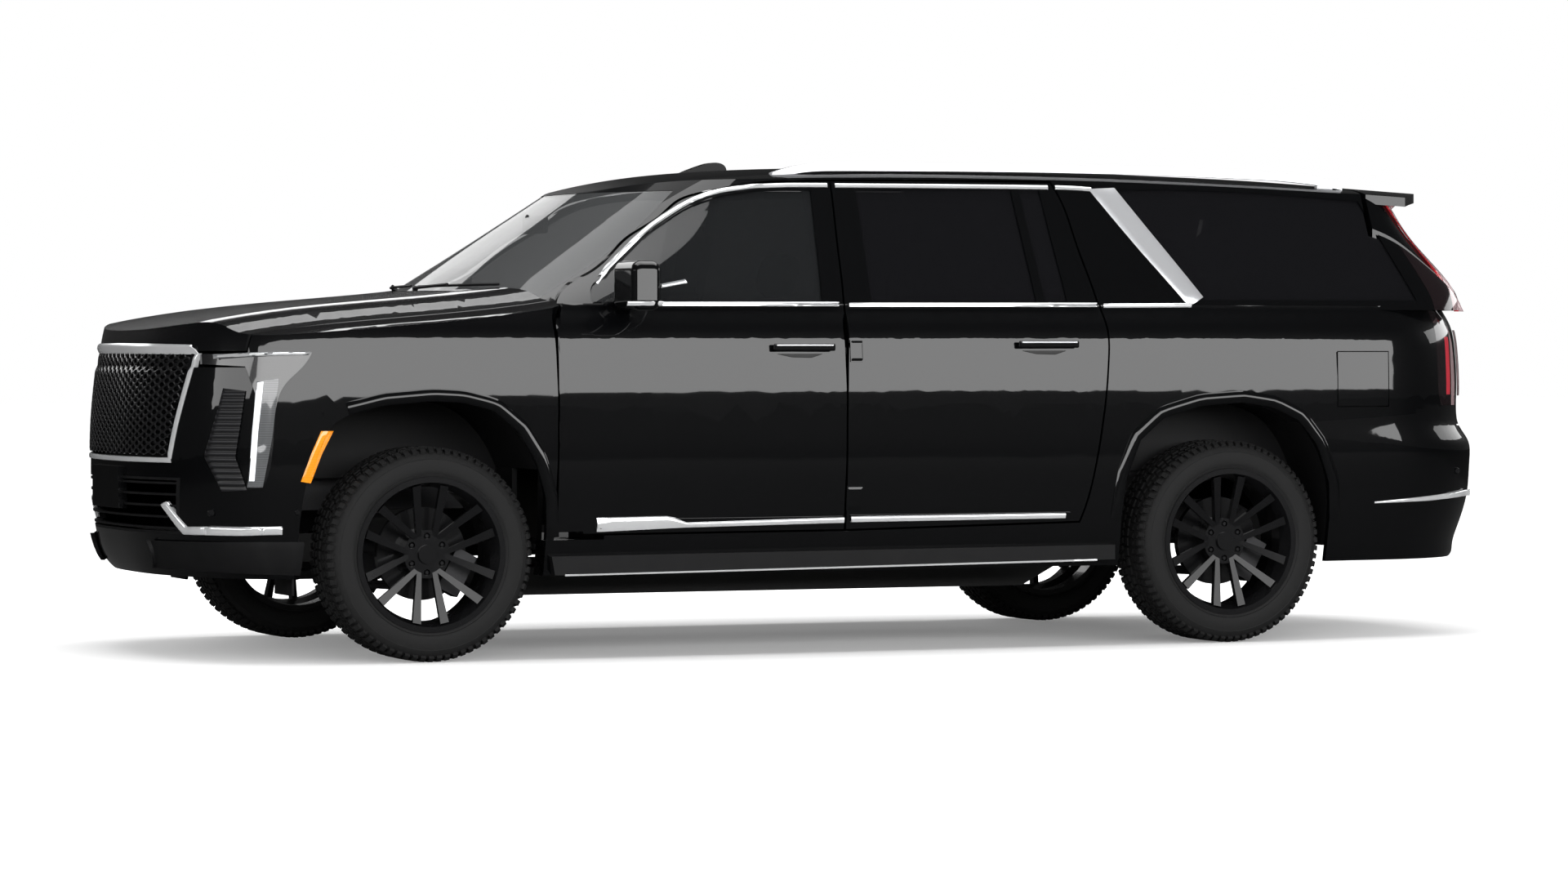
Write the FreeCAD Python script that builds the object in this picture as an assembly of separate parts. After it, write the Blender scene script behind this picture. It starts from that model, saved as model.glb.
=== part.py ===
import FreeCAD, Part
import math
import os
from FreeCAD import Vector

# A large family car with three rows of seats, built of separate panels.
# X runs rearward, Y to the vehicle's right, Z up. The origin lies under the
# middle of the car, on the ground.

# Overall sizes
FRONT_OVERHANG = 990.0
WHEELBASE = 3406.0
REAR_OVERHANG = 1370.0
WIDTH = 2060.0
HEIGHT = 1950.0
TRACK = 1740.0

# Clearances that every piece shares
GAP = 8.0            # between a moving panel and its neighbour
SEAT = 0.3           # between pieces that rest on each other
PAST = 400.0         # how far a cutting shape runs past what it cuts

# Wall sizes
DOOR_THICK = 110.0
FRAME_THICK = 52.0
PANEL_THICK = 26.0
PILLAR_THICK = 70.0
GLASS_THICK = 5.0
GLASS_INSET = 9.0

PLATE_STAND = 14.0     # the front plate panel stands this far ahead of the nose

LENGTH = FRONT_OVERHANG + WHEELBASE + REAR_OVERHANG
NOSE_X = (PLATE_STAND - LENGTH) / 2
TAIL_X = NOSE_X + LENGTH
FRONT_AXLE_X = NOSE_X + FRONT_OVERHANG
REAR_AXLE_X = FRONT_AXLE_X + WHEELBASE
HALF_WIDTH = WIDTH / 2
os.makedirs("parts", exist_ok=True)


# Stations run -1 at the nose, 0 at the front axle, 1 at the rear axle and 2 at the tail.
def along(station):
    if station < 0:
        return FRONT_AXLE_X + station * FRONT_OVERHANG
    if station <= 1:
        return FRONT_AXLE_X + station * WHEELBASE
    return REAR_AXLE_X + (station - 1) * REAR_OVERHANG


def up(share):
    return share * HEIGHT


def across(share):
    return share * HALF_WIDTH


def save(name, shapes):
    if not isinstance(shapes, (list, tuple)):
        shapes = [shapes]
    solids = [s for shape in shapes for s in shape.Solids]
    Part.makeCompound(solids).exportStep("parts/%s.step" % name)
    bad = [i for i, s in enumerate(solids) if not s.isValid() or s.Volume <= 0]
    print(name, len(solids), round(sum(s.Volume for s in solids) / 1e9, 5), "BAD" if bad else "")


def mirrored(shape):
    return shape.mirror(Vector(0, 0, 0), Vector(0, 1, 0))


def fused(shapes):
    shapes = list(shapes)
    return shapes[0].multiFuse(shapes[1:]).removeSplitter() if len(shapes) > 1 else shapes[0]


def box(x0, x1, y0, y1, z0, z1):
    return Part.makeBox(x1 - x0, y1 - y0, z1 - z0, Vector(x0, y0, z0))


def rod(radius, start, end):
    line = end - start
    return Part.makeCylinder(radius, line.Length, start, line)


# The outer form.
# One level of the body seen from above: station and half-width share.
plan_shares = [
    (-1.0, 0.0), (-0.995, 0.194), (-0.967, 0.388), (-0.921, 0.534), (-0.881, 0.631),
    (-0.833, 0.718), (-0.786, 0.786), (-0.735, 0.835), (-0.667, 0.879), (-0.576, 0.917),
    (-0.475, 0.947), (-0.354, 0.971), (-0.202, 0.987), (0.0, 0.996), (0.14, 0.992),
    (0.32, 0.984), (0.5, 0.982), (0.7, 0.985), (0.88, 0.994), (1.0, 0.998),
    (1.156, 0.997), (1.36, 0.988), (1.528, 0.971), (1.645, 0.947), (1.726, 0.913),
    (1.795, 0.869), (1.850, 0.818), (1.901, 0.750), (1.945, 0.660), (1.977, 0.515),
    (1.994, 0.291), (2.0, 0.0)]
# Height, nose station, tail station and width share of each level.
level_shares = [
    (0.165, -0.905, 1.935, 0.955), (0.188, -0.945, 1.945, 0.965),
    (0.231, -0.975, 1.962, 0.978), (0.298, -0.995, 1.993, 0.988),
    (0.370, -1.0, 2.0, 0.997), (0.415, -0.998, 1.992, 1.0),
    (0.447, -0.996, 1.958, 1.0), (0.472, -0.993, 1.949, 1.0),
    (0.524, -0.982, 1.949, 1.0), (0.590, -0.966, 1.947, 0.994),
    (0.634, -0.951, 1.941, 0.986), (0.654, -0.943, 1.936, 0.975),
    (0.678, -0.932, 1.924, 0.951), (0.7005, -0.922, 1.911, 0.933)]
# The bonnet rises above the body's top level, so its shell comes from a taller body.
crown_level_share = (0.765, -0.900, 1.880, 0.900)
# The glasshouse: rows of station and half-width share at rising heights.
glass_level_shares = [
    (0.6923, [(0.044, 0.0), (0.052, 0.291), (0.077, 0.583), (0.108, 0.757), (0.140, 0.836),
              (0.177, 0.888), (0.235, 0.913), (0.35, 0.917), (0.5, 0.917), (0.82, 0.917),
              (1.142, 0.912), (1.507, 0.904), (1.690, 0.882), (1.785, 0.845), (1.850, 0.777),
              (1.898, 0.583), (1.918, 0.291), (1.924, 0.0)]),
    (0.7800, [(0.125, 0.0), (0.131, 0.291), (0.162, 0.583), (0.198, 0.699), (0.231, 0.767),
              (0.264, 0.816), (0.310, 0.840), (0.38, 0.852), (0.5, 0.855), (0.82, 0.855),
              (1.142, 0.849), (1.470, 0.839), (1.645, 0.818), (1.740, 0.780), (1.803, 0.709),
              (1.853, 0.510), (1.869, 0.262), (1.874, 0.0)]),
    (0.8569, [(0.193, 0.0), (0.200, 0.291), (0.232, 0.524), (0.261, 0.631), (0.291, 0.699),
              (0.329, 0.748), (0.382, 0.777), (0.44, 0.789), (0.52, 0.794), (0.82, 0.794),
              (1.142, 0.788), (1.434, 0.777), (1.594, 0.757), (1.674, 0.718), (1.726, 0.631),
              (1.780, 0.437), (1.804, 0.233), (1.810, 0.0)]),
    (0.9369, [(0.263, 0.0), (0.273, 0.291), (0.300, 0.485), (0.323, 0.583), (0.358, 0.660),
              (0.405, 0.704), (0.450, 0.721), (0.50, 0.730), (0.56, 0.735), (0.82, 0.735),
              (1.142, 0.730), (1.419, 0.718), (1.565, 0.694), (1.631, 0.660), (1.671, 0.583),
              (1.718, 0.388), (1.742, 0.214), (1.748, 0.0)]),
    (0.9900, [(0.310, 0.0), (0.321, 0.291), (0.346, 0.461), (0.367, 0.553), (0.400, 0.621),
              (0.445, 0.665), (0.490, 0.682), (0.54, 0.691), (0.60, 0.696), (0.82, 0.696),
              (1.142, 0.691), (1.405, 0.680), (1.545, 0.655), (1.600, 0.621), (1.635, 0.544),
              (1.675, 0.364), (1.700, 0.204), (1.706, 0.0)])]
# Height of the bonnet line over its stations, and how far it falls towards the sides.
bonnet_shares = [
    (-1.02, 0.625), (-0.95, 0.6465), (-0.86, 0.6625), (-0.71, 0.6785), (-0.40, 0.7005),
    (0.0, 0.7185), (0.065, 0.7290), (0.12, 0.7400), (0.16, 0.7500)]
bonnet_fall_shares = [
    (0.0, 0.0), (0.30, 0.001), (0.58, 0.0045), (0.68, 0.008), (0.745, 0.018), (0.80, 0.034),
    (0.845, 0.044), (0.90, 0.052), (1.05, 0.062)]
# Height of the roof over its stations, and how far it falls towards the sides.
roof_shares = [
    (0.02, 0.800), (0.11, 0.860), (0.20, 0.908), (0.263, 0.9330), (0.30, 0.9505), (0.34, 0.9645), (0.39, 0.9750),
    (0.46, 0.9835), (0.56, 0.9890), (0.75, 0.9900), (0.94, 0.9850), (1.29, 0.9750),
    (1.58, 0.9635), (1.73, 0.9575), (1.95, 0.9470)]
roof_fall_shares = [
    (0.0, 0.0), (0.29, 0.003), (0.485, 0.0085), (0.583, 0.0135), (0.66, 0.020),
    (0.70, 0.0255), (0.74, 0.034), (0.80, 0.050), (1.0, 0.11)]


def inset_outline(points, inset):
    """Moves an outline that starts and ends on the middle plane inward by inset."""
    if not inset:
        return points
    moved = []
    last = len(points) - 1
    for i, (x, y) in enumerate(points):
        if i == 0:
            moved.append((x + inset, y))
        elif i == last:
            moved.append((x - inset, y))
        else:
            ax, ay = points[i - 1]
            bx, by = points[i + 1]
            size = math.hypot(bx - ax, by - ay)
            moved.append((x + inset * (by - ay) / size, y - inset * (bx - ax) / size))
    return moved


def half_edge(points, z, side, shares):
    vectors = [Vector(x, side * y, z) for x, y in points]
    curve = Part.BSplineCurve()
    curve.interpolate(Points=vectors, Parameters=shares,
                      InitialTangent=Vector(0, side, 0), FinalTangent=Vector(0, -side, 0))
    return curve.toShape()


def level_solid(rows):
    """A solid through closed outlines: rows of a height and points for one half."""
    first = rows[len(rows) // 2][1]
    run = [0.0]
    for (ax, ay), (bx, by) in zip(first, first[1:]):
        run.append(run[-1] + math.hypot(bx - ax, by - ay))
    shares = [r / run[-1] for r in run]
    wires = []
    for z, points in rows:
        near = half_edge(points, z, -1, shares)
        far = half_edge(points, z, 1, shares)
        wires.append(Part.Wire([near, far]))
    return Part.makeLoft(wires, True, False)


offset_bodies = {}


def lower_solid(inset):
    """The lower body with its sides moved inward by inset, kept for the next use."""
    if inset not in offset_bodies:
        offset_bodies[inset] = level_solid(lower_rows(inset))
    return offset_bodies[inset]


def lower_rows(inset, levels=level_shares):
    rows = []
    for height, nose, tail, width in levels:
        points = []
        for station, share in plan_shares:
            moved = station + (nose + 1) * max(0.0, -station) + (tail - 2) * max(0.0, station - 1)
            points.append((along(moved), across(share * width)))
        rows.append((up(height), inset_outline(points, inset)))
    return rows


def glass_solid(inset):
    rows = [(up(height), inset_outline([(along(s), across(v)) for s, v in row], inset))
            for height, row in glass_level_shares]
    return level_solid(rows)


def under_surface(line_shares, fall_shares, drop, floor_z):
    """Everything below a crowned surface, lowered by drop, down to floor_z."""
    wires = []
    for station, height in line_shares:
        crown = [Vector(along(station), side * across(v), up(height - fall) - drop)
                 for side, order in ((-1, -1), (1, 1))
                 for v, fall in (fall_shares[::order] if order < 0 else fall_shares[1:])]
        curve = Part.BSplineCurve()
        curve.interpolate(crown)
        low_a = Vector(crown[0].x, crown[0].y, floor_z)
        low_b = Vector(crown[-1].x, crown[-1].y, floor_z)
        wires.append(Part.Wire([curve.toShape(), Part.makeLine(crown[-1], low_b),
                                Part.makeLine(low_b, low_a), Part.makeLine(low_a, crown[0])]))
    return Part.makeLoft(wires, True, False)




# Outlines on the side of the car, as stations and heights.
door_front_shares = [
    (0.2010, 0.7560), (0.1790, 0.7360), (0.1640, 0.7120), (0.1520, 0.6593), (0.1491, 0.6208),
    (0.1539, 0.5471), (0.1600, 0.4445), (0.1690, 0.3351), (0.1790, 0.2447)]
door_top_front_shares = [
    (0.2010, 0.7560), (0.2329, 0.7900), (0.2602, 0.8290), (0.2990, 0.8720), (0.3431, 0.9120),
    (0.3855, 0.9350), (0.4281, 0.9470), (0.4700, 0.9515), (0.5143, 0.9530)]
door_split_shares = [
    (0.5143, 0.9530), (0.5130, 0.9000), (0.5095, 0.8000), (0.5067, 0.6981), (0.5050, 0.6300),
    (0.5030, 0.5300), (0.5024, 0.4200), (0.5022, 0.3200), (0.5019, 0.2460)]
door_top_rear_shares = [(0.5143, 0.9530), (0.6000, 0.9550), (0.7000, 0.9560), (0.7970, 0.9560)]
door_rear_shares = [
    (0.7970, 0.9560), (0.8072, 0.9200), (0.8190, 0.8200), (0.8323, 0.7065), (0.8365, 0.6500),
    (0.8345, 0.5600), (0.8290, 0.4750), (0.8200, 0.3800), (0.8095, 0.3000), (0.7998, 0.2560)]
front_glass_shares = [
    [(0.1995, 0.7040), (0.2010, 0.7230), (0.2075, 0.7400)],
    [(0.2075, 0.7400), (0.2329, 0.7748), (0.2602, 0.8143), (0.2990, 0.8559), (0.3431, 0.8996),
     (0.3855, 0.9200), (0.4281, 0.9290), (0.4880, 0.9315)],
    [(0.4880, 0.9315), (0.4800, 0.7040)], [(0.4800, 0.7040), (0.1995, 0.7040)]]
rear_glass_shares = [
    [(0.5420, 0.7050), (0.5440, 0.9330)], [(0.5440, 0.9330), (0.6400, 0.9370), (0.7440, 0.9385)],
    [(0.7440, 0.9385), (0.7530, 0.7060)], [(0.7530, 0.7060), (0.5420, 0.7050)]]
small_glass_shares = [
    [(0.7640, 0.7070), (0.7545, 0.9390)], [(0.7545, 0.9390), (0.7810, 0.9385)],
    [(0.7810, 0.9385), (0.7930, 0.7080)], [(0.7930, 0.7080), (0.7640, 0.7070)]]
quarter_glass_shares = [
    [(0.9735, 0.7120), (0.8825, 0.9400)],
    [(0.8825, 0.9400), (1.1000, 0.9400), (1.3200, 0.9330), (1.5320, 0.9230)],
    [(1.5320, 0.9230), (1.6000, 0.8200), (1.6680, 0.7130)], [(1.6680, 0.7130), (0.9735, 0.7120)]]
fuel_shares = [(1.3540, 0.6036), (1.5330, 0.6036), (1.5310, 0.4905), (1.3520, 0.4905)]
front_arch_shares = [
    (-0.5200, 0.1400), (-0.5150, 0.2300), (-0.4930, 0.3400), (-0.4560, 0.4100),
    (-0.4050, 0.4580), (-0.3300, 0.4830), (-0.1900, 0.5010), (-0.0027, 0.5090),
    (0.0337, 0.5060), (0.0700, 0.4900), (0.1000, 0.4480), (0.1210, 0.3900), (0.1335, 0.3181),
    (0.1350, 0.2400), (0.1350, 0.1400)]
rear_arch_shares = [
    (0.8530, 0.1400), (0.8545, 0.2600), (0.8610, 0.3500), (0.8770, 0.4224), (0.9080, 0.4680),
    (0.9578, 0.4923), (1.0300, 0.4985), (1.1310, 0.4880), (1.2180, 0.4600), (1.2800, 0.4074),
    (1.3230, 0.3300), (1.3290, 0.2500), (1.3290, 0.1400)]
front_seam_shares = [(-0.5046, 0.5750), (-0.4442, 0.5374), (-0.3035, 0.4662), (-0.2500, 0.4400)]
rear_seam_shares = [(1.2250, 0.4571), (1.4083, 0.4632), (1.5329, 0.4680), (1.6752, 0.4750)]


def place(point):
    return along(point[0]), up(point[1])


def skin_half_width(z):
    """Half width of the car at its middle, at height z."""
    table = [(h, w * plan_shares[16][1]) for h, _, _, w in level_shares]
    table += [(h, row[8][1]) for h, row in glass_level_shares]
    share = z / HEIGHT
    for (h0, w0), (h1, w1) in zip(table, table[1:]):
        if share <= h1:
            part = max(0.0, min(1.0, (share - h0) / (h1 - h0)))
            return across(w0 + part * (w1 - w0))
    return across(table[-1][1])


def grown(points, amount):
    """Moves a closed outline of points outward by amount, with mitred corners."""
    if not amount:
        return list(points)
    area = sum(ax * bz - bx * az for (ax, az), (bx, bz) in zip(points, points[1:] + points[:1]))
    turn = 1.0 if area > 0 else -1.0
    count = len(points)
    moved = []
    for i in range(count):
        px, pz = points[i - 1]
        x, z = points[i]
        nx, nz = points[(i + 1) % count]
        la, lb = math.hypot(x - px, z - pz), math.hypot(nx - x, nz - z)
        ax, az = (z - pz) / la * turn, -(x - px) / la * turn
        bx, bz = (nz - z) / lb * turn, -(nx - x) / lb * turn
        dot = 1.0 + ax * bx + az * bz
        moved.append((x + amount * (ax + bx) / dot, z + amount * (az + bz) / dot))
    return moved


def closed_runs(runs, amount, shape=place):
    """Runs of shares that follow one another round an outline, grown and split again."""
    points, corners = [], []
    for run in runs:
        corners.append(len(points))
        points += [shape(p) for p in run[:-1]]
    points = grown(points, amount)
    result = []
    for i, start in enumerate(corners):
        end = corners[i + 1] if i + 1 < len(corners) else len(points)
        result.append(points[start:end] + [points[end % len(points)]])
    return result


def runs_wire(runs, lift):
    edges = []
    for run in runs:
        vectors = [lift(p) for p in run]
        if len(vectors) == 2:
            edges.append(Part.makeLine(vectors[0], vectors[1]))
        else:
            curve = Part.BSplineCurve()
            curve.interpolate(vectors)
            edges.append(curve.toShape())
    return Part.Wire(edges)


def side_block(runs, amount=0.0, near=0.0, far=PAST * 3, side=-1, slope=None):
    """A cutting block with a side outline, from near to far of the middle plane."""
    loops = closed_runs(runs, amount)
    if slope is None:
        wire = runs_wire(loops, lambda p: Vector(p[0], side * near, p[1]))
        return Part.Face(wire).extrude(Vector(0, side * (far - near), 0))

    def at(depth):
        return runs_wire(loops, lambda p: Vector(p[0] + slope(p) * (depth - skin_half_width(p[1])),
                                                 side * depth, p[1]))
    return Part.makeLoft([at(near), at(far)], True, True)


def skin_at(x, z):
    """Half width of the lower body where a line across the car leaves it."""
    line = Part.makeLine(Vector(x, 0, z), Vector(x, -HALF_WIDTH - PAST, z))
    return abs(line.common(lower_outer).BoundBox.YMin)


def polygon(points):
    return [[a, b] for a, b in zip(points, points[1:] + points[:1])]


# Masters.
POST_GAP = 14.0
POST_THICK = 58.0
lower_outer = lower_solid(0)
lower_panel = lower_solid(PANEL_THICK)
lower_deep = lower_solid(DOOR_THICK)
glass_outer = glass_solid(0)
glass_frame = glass_solid(FRAME_THICK)
glass_pillar = glass_solid(PILLAR_THICK)
bonnet_outer = under_surface(bonnet_shares, bonnet_fall_shares, 0.0, 0.0)
bonnet_panel = under_surface(bonnet_shares, bonnet_fall_shares, PANEL_THICK, -PANEL_THICK)
roof_outer = under_surface(roof_shares, roof_fall_shares, 0.0, up(0.6))
roof_frame = under_surface(roof_shares, roof_fall_shares, PILLAR_THICK, up(0.55))
ROOF_THICK = 34.0
roof_skin = under_surface(roof_shares, roof_fall_shares, ROOF_THICK, up(0.55))
FAR = PAST * 9

crowned_levels = level_shares + [crown_level_share]
front_outer = level_solid(lower_rows(0, crowned_levels))
front_inner = level_solid(lower_rows(PANEL_THICK, crowned_levels))
front_shell = front_outer.common(bonnet_outer).cut(front_inner.common(bonnet_panel))
side_shell = lower_outer.cut(lower_deep)
top_solid = glass_outer.common(roof_outer)
top_pillars = top_solid.cut(glass_pillar.common(roof_frame))
top_frames = top_solid.cut(glass_frame)
print("masters", front_shell.isValid(), side_shell.isValid(), top_pillars.isValid())

# Doors.
HINGE_BACK = 30.0        # the hinge pin stands this far behind the door's front edge
HINGE_IN = 35.0          # and this far in from the widest skin
HINGE_RADIUS = 12.0
HINGE_HEIGHT = 34.0
HINGE_ARM = 16.0
POCKET_SIDE = 12.0
DRAFT_EXTRA_share = 1.15
hinge_height_shares = (0.315, 0.600)

BODY_MAX_Y = across(0.996)
HINGE_Y = BODY_MAX_Y - HINGE_IN


def door_runs(front, top, rear):
    foot = [rear[-1], front[-1]]
    return [front[::-1], top, rear, foot]


front_door_runs = door_runs(door_front_shares, door_top_front_shares, door_split_shares)
rear_door_runs = [door_split_shares[::-1], door_top_rear_shares, door_rear_shares,
                  [door_rear_shares[-1], door_split_shares[-1]]]
front_door_length = along(0.5143) - along(0.1491)
rear_door_length = along(0.8365) - along(0.5022)


def draft(length):
    def slope(point):
        inner = skin_half_width(point[1]) - (DOOR_THICK if point[1] < up(0.69) else FRAME_THICK)
        return DRAFT_EXTRA_share * max(0.0, HINGE_Y - inner) / length
    return slope


split_x = along(0.507)


def front_slope(point):
    return draft(front_door_length)(point) if point[0] > (split_x + along(0.1491)) / 2 else 0.0


def rear_slope(point):
    if point[0] < (split_x + along(0.8365)) / 2:
        return draft(front_door_length)(point)
    return draft(rear_door_length)(point)


DOOR_NEAR = across(0.46)


def door_block(runs, slope, amount):
    return side_block(runs, amount, DOOR_NEAR, HALF_WIDTH + PAST / 2, -1, slope)


front_cut = door_block(front_door_runs, front_slope, -GAP / 2)
front_hole = door_block(front_door_runs, front_slope, GAP / 2)
rear_cut = door_block(rear_door_runs, rear_slope, -GAP / 2)
rear_hole = door_block(rear_door_runs, rear_slope, GAP / 2)
front_window = side_block(front_glass_shares)
rear_window = side_block(rear_glass_shares)
small_window = side_block(small_glass_shares)
quarter_window = side_block(quarter_glass_shares)

glass_face = glass_solid(GLASS_INSET).cut(glass_solid(GLASS_INSET + GLASS_THICK))
# The frame's inner faces stop at the belt, where the thick lower door begins.
BELT_Z = up(0.7005)


def hinge_pin_x(front_points):
    return min(along(s) for s, _ in front_points) + GAP / 2 + HINGE_BACK


def hinge_set(x, y_out, post_y):
    """For each hinge: the pocket that leaves the door's knuckle, and the fixed knuckle."""
    pockets, fixed = [], []
    reach = HINGE_RADIUS + POCKET_SIDE
    for share in hinge_height_shares:
        z = up(share)
        pocket = box(x - HINGE_BACK - PAST / 4, x + reach, -y_out - reach / 2, -DOOR_NEAR,
                     z - HINGE_HEIGHT - POCKET_SIDE, z + HINGE_HEIGHT + POCKET_SIDE)
        upper = Part.makeCylinder(HINGE_RADIUS, HINGE_HEIGHT, Vector(x, -y_out, z + SEAT))
        tail = box(x, x + reach + HINGE_ARM, -y_out - HINGE_ARM / 2, -y_out + HINGE_ARM / 2,
                   z + SEAT, z + SEAT + HINGE_HEIGHT)
        pockets.append(pocket.cut(upper.fuse(tail)))
        knuckle = Part.makeCylinder(HINGE_RADIUS, HINGE_HEIGHT, Vector(x, -y_out, z - HINGE_HEIGHT))
        arm = box(x - HINGE_ARM / 2, x + HINGE_ARM / 2, -y_out, -post_y(z), z - HINGE_HEIGHT, z)
        fixed.append(knuckle.fuse(arm))
    return pockets, fixed


def post_inner_y(z):
    return skin_half_width(z) - DOOR_THICK - POST_GAP - POST_THICK / 2


front_pin_x = hinge_pin_x(door_front_shares)
rear_pin_x = along(0.5022) + GAP / 2 + HINGE_BACK
front_pockets, front_fixed = hinge_set(front_pin_x, HINGE_Y, post_inner_y)
rear_pockets, rear_fixed = hinge_set(rear_pin_x, HINGE_Y, post_inner_y)


def door(cut, windows, pockets):
    low = side_shell.common(cut)
    high = top_frames.common(cut)
    for window in windows:
        high = high.cut(window)
    solid = low.fuse(high)
    for pocket in pockets:
        solid = solid.cut(pocket)
    return solid


def relief(x, radius):
    return Part.makeCylinder(radius, up(0.70) - up(0.20), Vector(x, -HINGE_Y, up(0.20)))


hinge_relief_radius = math.hypot(HINGE_BACK, HINGE_IN) + GAP / 2
split_relief_radius = math.hypot(HINGE_BACK, skin_half_width(up(0.45)) - HINGE_Y) + GAP * 0.7
front_door = door(front_cut, [front_window], front_pockets).cut(relief(rear_pin_x, split_relief_radius))
rear_door = door(rear_cut, [rear_window, small_window], rear_pockets)
print("doors", front_door.isValid(), len(front_door.Solids), rear_door.isValid(), len(rear_door.Solids))
front_glass = glass_face.common(front_window).common(top_solid)
rear_glass = glass_face.common(rear_window).common(top_solid)
rear_glass = Part.makeCompound([rear_glass, glass_face.common(small_window).common(top_solid)])


def pair(name, shape):
    save(name + "_left", shape)
    save(name + "_right", mirrored(shape))


def both(name, shapes):
    if not isinstance(shapes, (list, tuple)):
        shapes = [shapes]
    save(name, list(shapes) + [mirrored(shape) for shape in shapes])


pair("door_front", front_door)
pair("door_rear", rear_door)
pair("glass_front", front_glass)
pair("glass_rear", rear_glass)

# Door trim: mirror, handles and the blade along the foot.
TRIM_THICK = 9.0
HANDLE_THICK = 14.0
HANDLE_STAND = 32.0
handle_shares = {"front": (0.4090, 0.4850, 0.6065, 0.6215), "rear": (0.7180, 0.7950, 0.6125, 0.6275)}
blade_shares = {"front": (0.1990, 0.4990, 0.2560, 0.2740), "rear": (0.5080, 0.7880, 0.2640, 0.2760)}
belt_shares = {"front": (0.2080, 0.4990, 0.6960, 0.7035), "rear": (0.5120, 0.8280, 0.6960, 0.7045)}
MIRROR_WIDTH = 250.0
MIRROR_HEIGHT = 190.0
MIRROR_DEPTH = 120.0
MIRROR_ARM = 70.0
MIRROR_ROUND = 38.0
mirror_centre_shares = (0.2330, 0.7350)


def band(x0, x1, z0, z1, outer, inner):
    """A strip of the skin between two offsets, cut by a rectangle in the side view."""
    block = box(x0, x1, -HALF_WIDTH - PAST, -DOOR_NEAR, z0, z1)
    return outer.common(block).cut(inner)


trim_outer = lower_solid(-TRIM_THICK)
lower_touch = lower_solid(-SEAT)


def handle(x0, x1, z0, z1):
    y = -skin_at(x0, (z0 + z1) / 2)
    bar = box(x0, x1, y - HANDLE_STAND, y - HANDLE_STAND + HANDLE_THICK, z0, z1)
    bar = bar.makeFillet(HANDLE_THICK * 0.45, [e for e in bar.Edges])
    feet = []
    for x in (x0 + HANDLE_STAND, x1 - HANDLE_STAND):
        feet.append(box(x - HANDLE_THICK / 2, x + HANDLE_THICK / 2, y - HANDLE_STAND + HANDLE_THICK / 2,
                        y + PANEL_THICK, z0 + HANDLE_THICK / 2, z1 - HANDLE_THICK / 2))
    return bar.multiFuse(feet).cut(lower_touch)


def door_trim(which):
    x0, x1, z0, z1 = belt_shares[which]
    pieces = [band(along(x0), along(x1), up(z0), up(z1), trim_outer, lower_touch)]
    x0, x1, z0, z1 = blade_shares[which]
    pieces.append(band(along(x0), along(x1), up(z0), up(z1), trim_outer, lower_touch))
    x0, x1, z0, z1 = handle_shares[which]
    pieces.append(handle(along(x0), along(x1), up(z0), up(z1)))
    return pieces


def mirror_piece():
    x, z = place(mirror_centre_shares)
    y = -skin_half_width(z) - MIRROR_ARM
    shell = box(x - MIRROR_DEPTH / 2, x + MIRROR_DEPTH / 2, y - MIRROR_WIDTH, y,
                z - MIRROR_HEIGHT / 2, z + MIRROR_HEIGHT / 2)
    shell = shell.makeFillet(MIRROR_ROUND, shell.Edges)
    arm = box(x - MIRROR_DEPTH / 4, x + MIRROR_DEPTH / 4, y - MIRROR_ARM, y + MIRROR_ARM * 2,
              z - MIRROR_HEIGHT / 2, z - MIRROR_HEIGHT / 2 + MIRROR_ROUND)
    arm = arm.common(box(x - PAST, x + PAST, -HALF_WIDTH - PAST, 0, 0, HEIGHT))
    return shell.fuse(arm).cut(glass_solid(-SEAT)).cut(lower_touch)


front_trim = door_trim("front")
front_trim.append(mirror_piece().cut(front_trim[0]))
rear_trim = door_trim("rear")
pair("trim_front", Part.makeCompound([s for t in front_trim for s in t.Solids]))
pair("trim_rear", Part.makeCompound([s for t in rear_trim for s in t.Solids]))

# Bonnet, wings, lamps and front bumper.
BONNET_SIDE_share = 0.838
bonnet_front_height_share = 0.6051
bonnet_rear_shares = [(0.063, 0.0), (0.070, 0.291), (0.092, 0.485), (0.118, 0.660),
                      (0.144, 0.776), (0.158, 0.880)]
lamp_shares = [
    [(-0.8230, 0.6010), (-0.4640, 0.6045)],
    [(-0.4640, 0.6045), (-0.5050, 0.5735), (-0.5622, 0.5437), (-0.6066, 0.4493), (-0.6440, 0.3430)],
    [(-0.6440, 0.3430), (-0.6990, 0.3400)],
    [(-0.6990, 0.3400), (-0.6700, 0.5250)], [(-0.6700, 0.5250), (-0.7000, 0.5770)],
    [(-0.7000, 0.5770), (-0.8230, 0.5810)], [(-0.8230, 0.5810), (-0.8230, 0.6010)]]
grille_shares = [(0.560, 0.4012), (0.655, 0.5950)]
GRILLE_TOP_share = 0.6195
lower_grille_shares = [(0.590, 0.2500), (0.610, 0.3560)]
LAMP_DEEP = 70.0
FOOT_Z = up(0.165)

lower_lamp = lower_solid(LAMP_DEEP)
MID_X = along(0.35)


def front_face_block(half_low, half_high, z_low, z_high, deep_x):
    """A block that reaches back from the nose, tapering in the front view."""
    points = [(-half_low, z_low), (half_low, z_low), (half_high, z_high), (-half_high, z_high)]
    wire = Part.makePolygon([Vector(NOSE_X - PAST, y, z) for y, z in points + points[:1]])
    return Part.Face(wire).extrude(Vector(deep_x, 0, 0))


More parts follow.
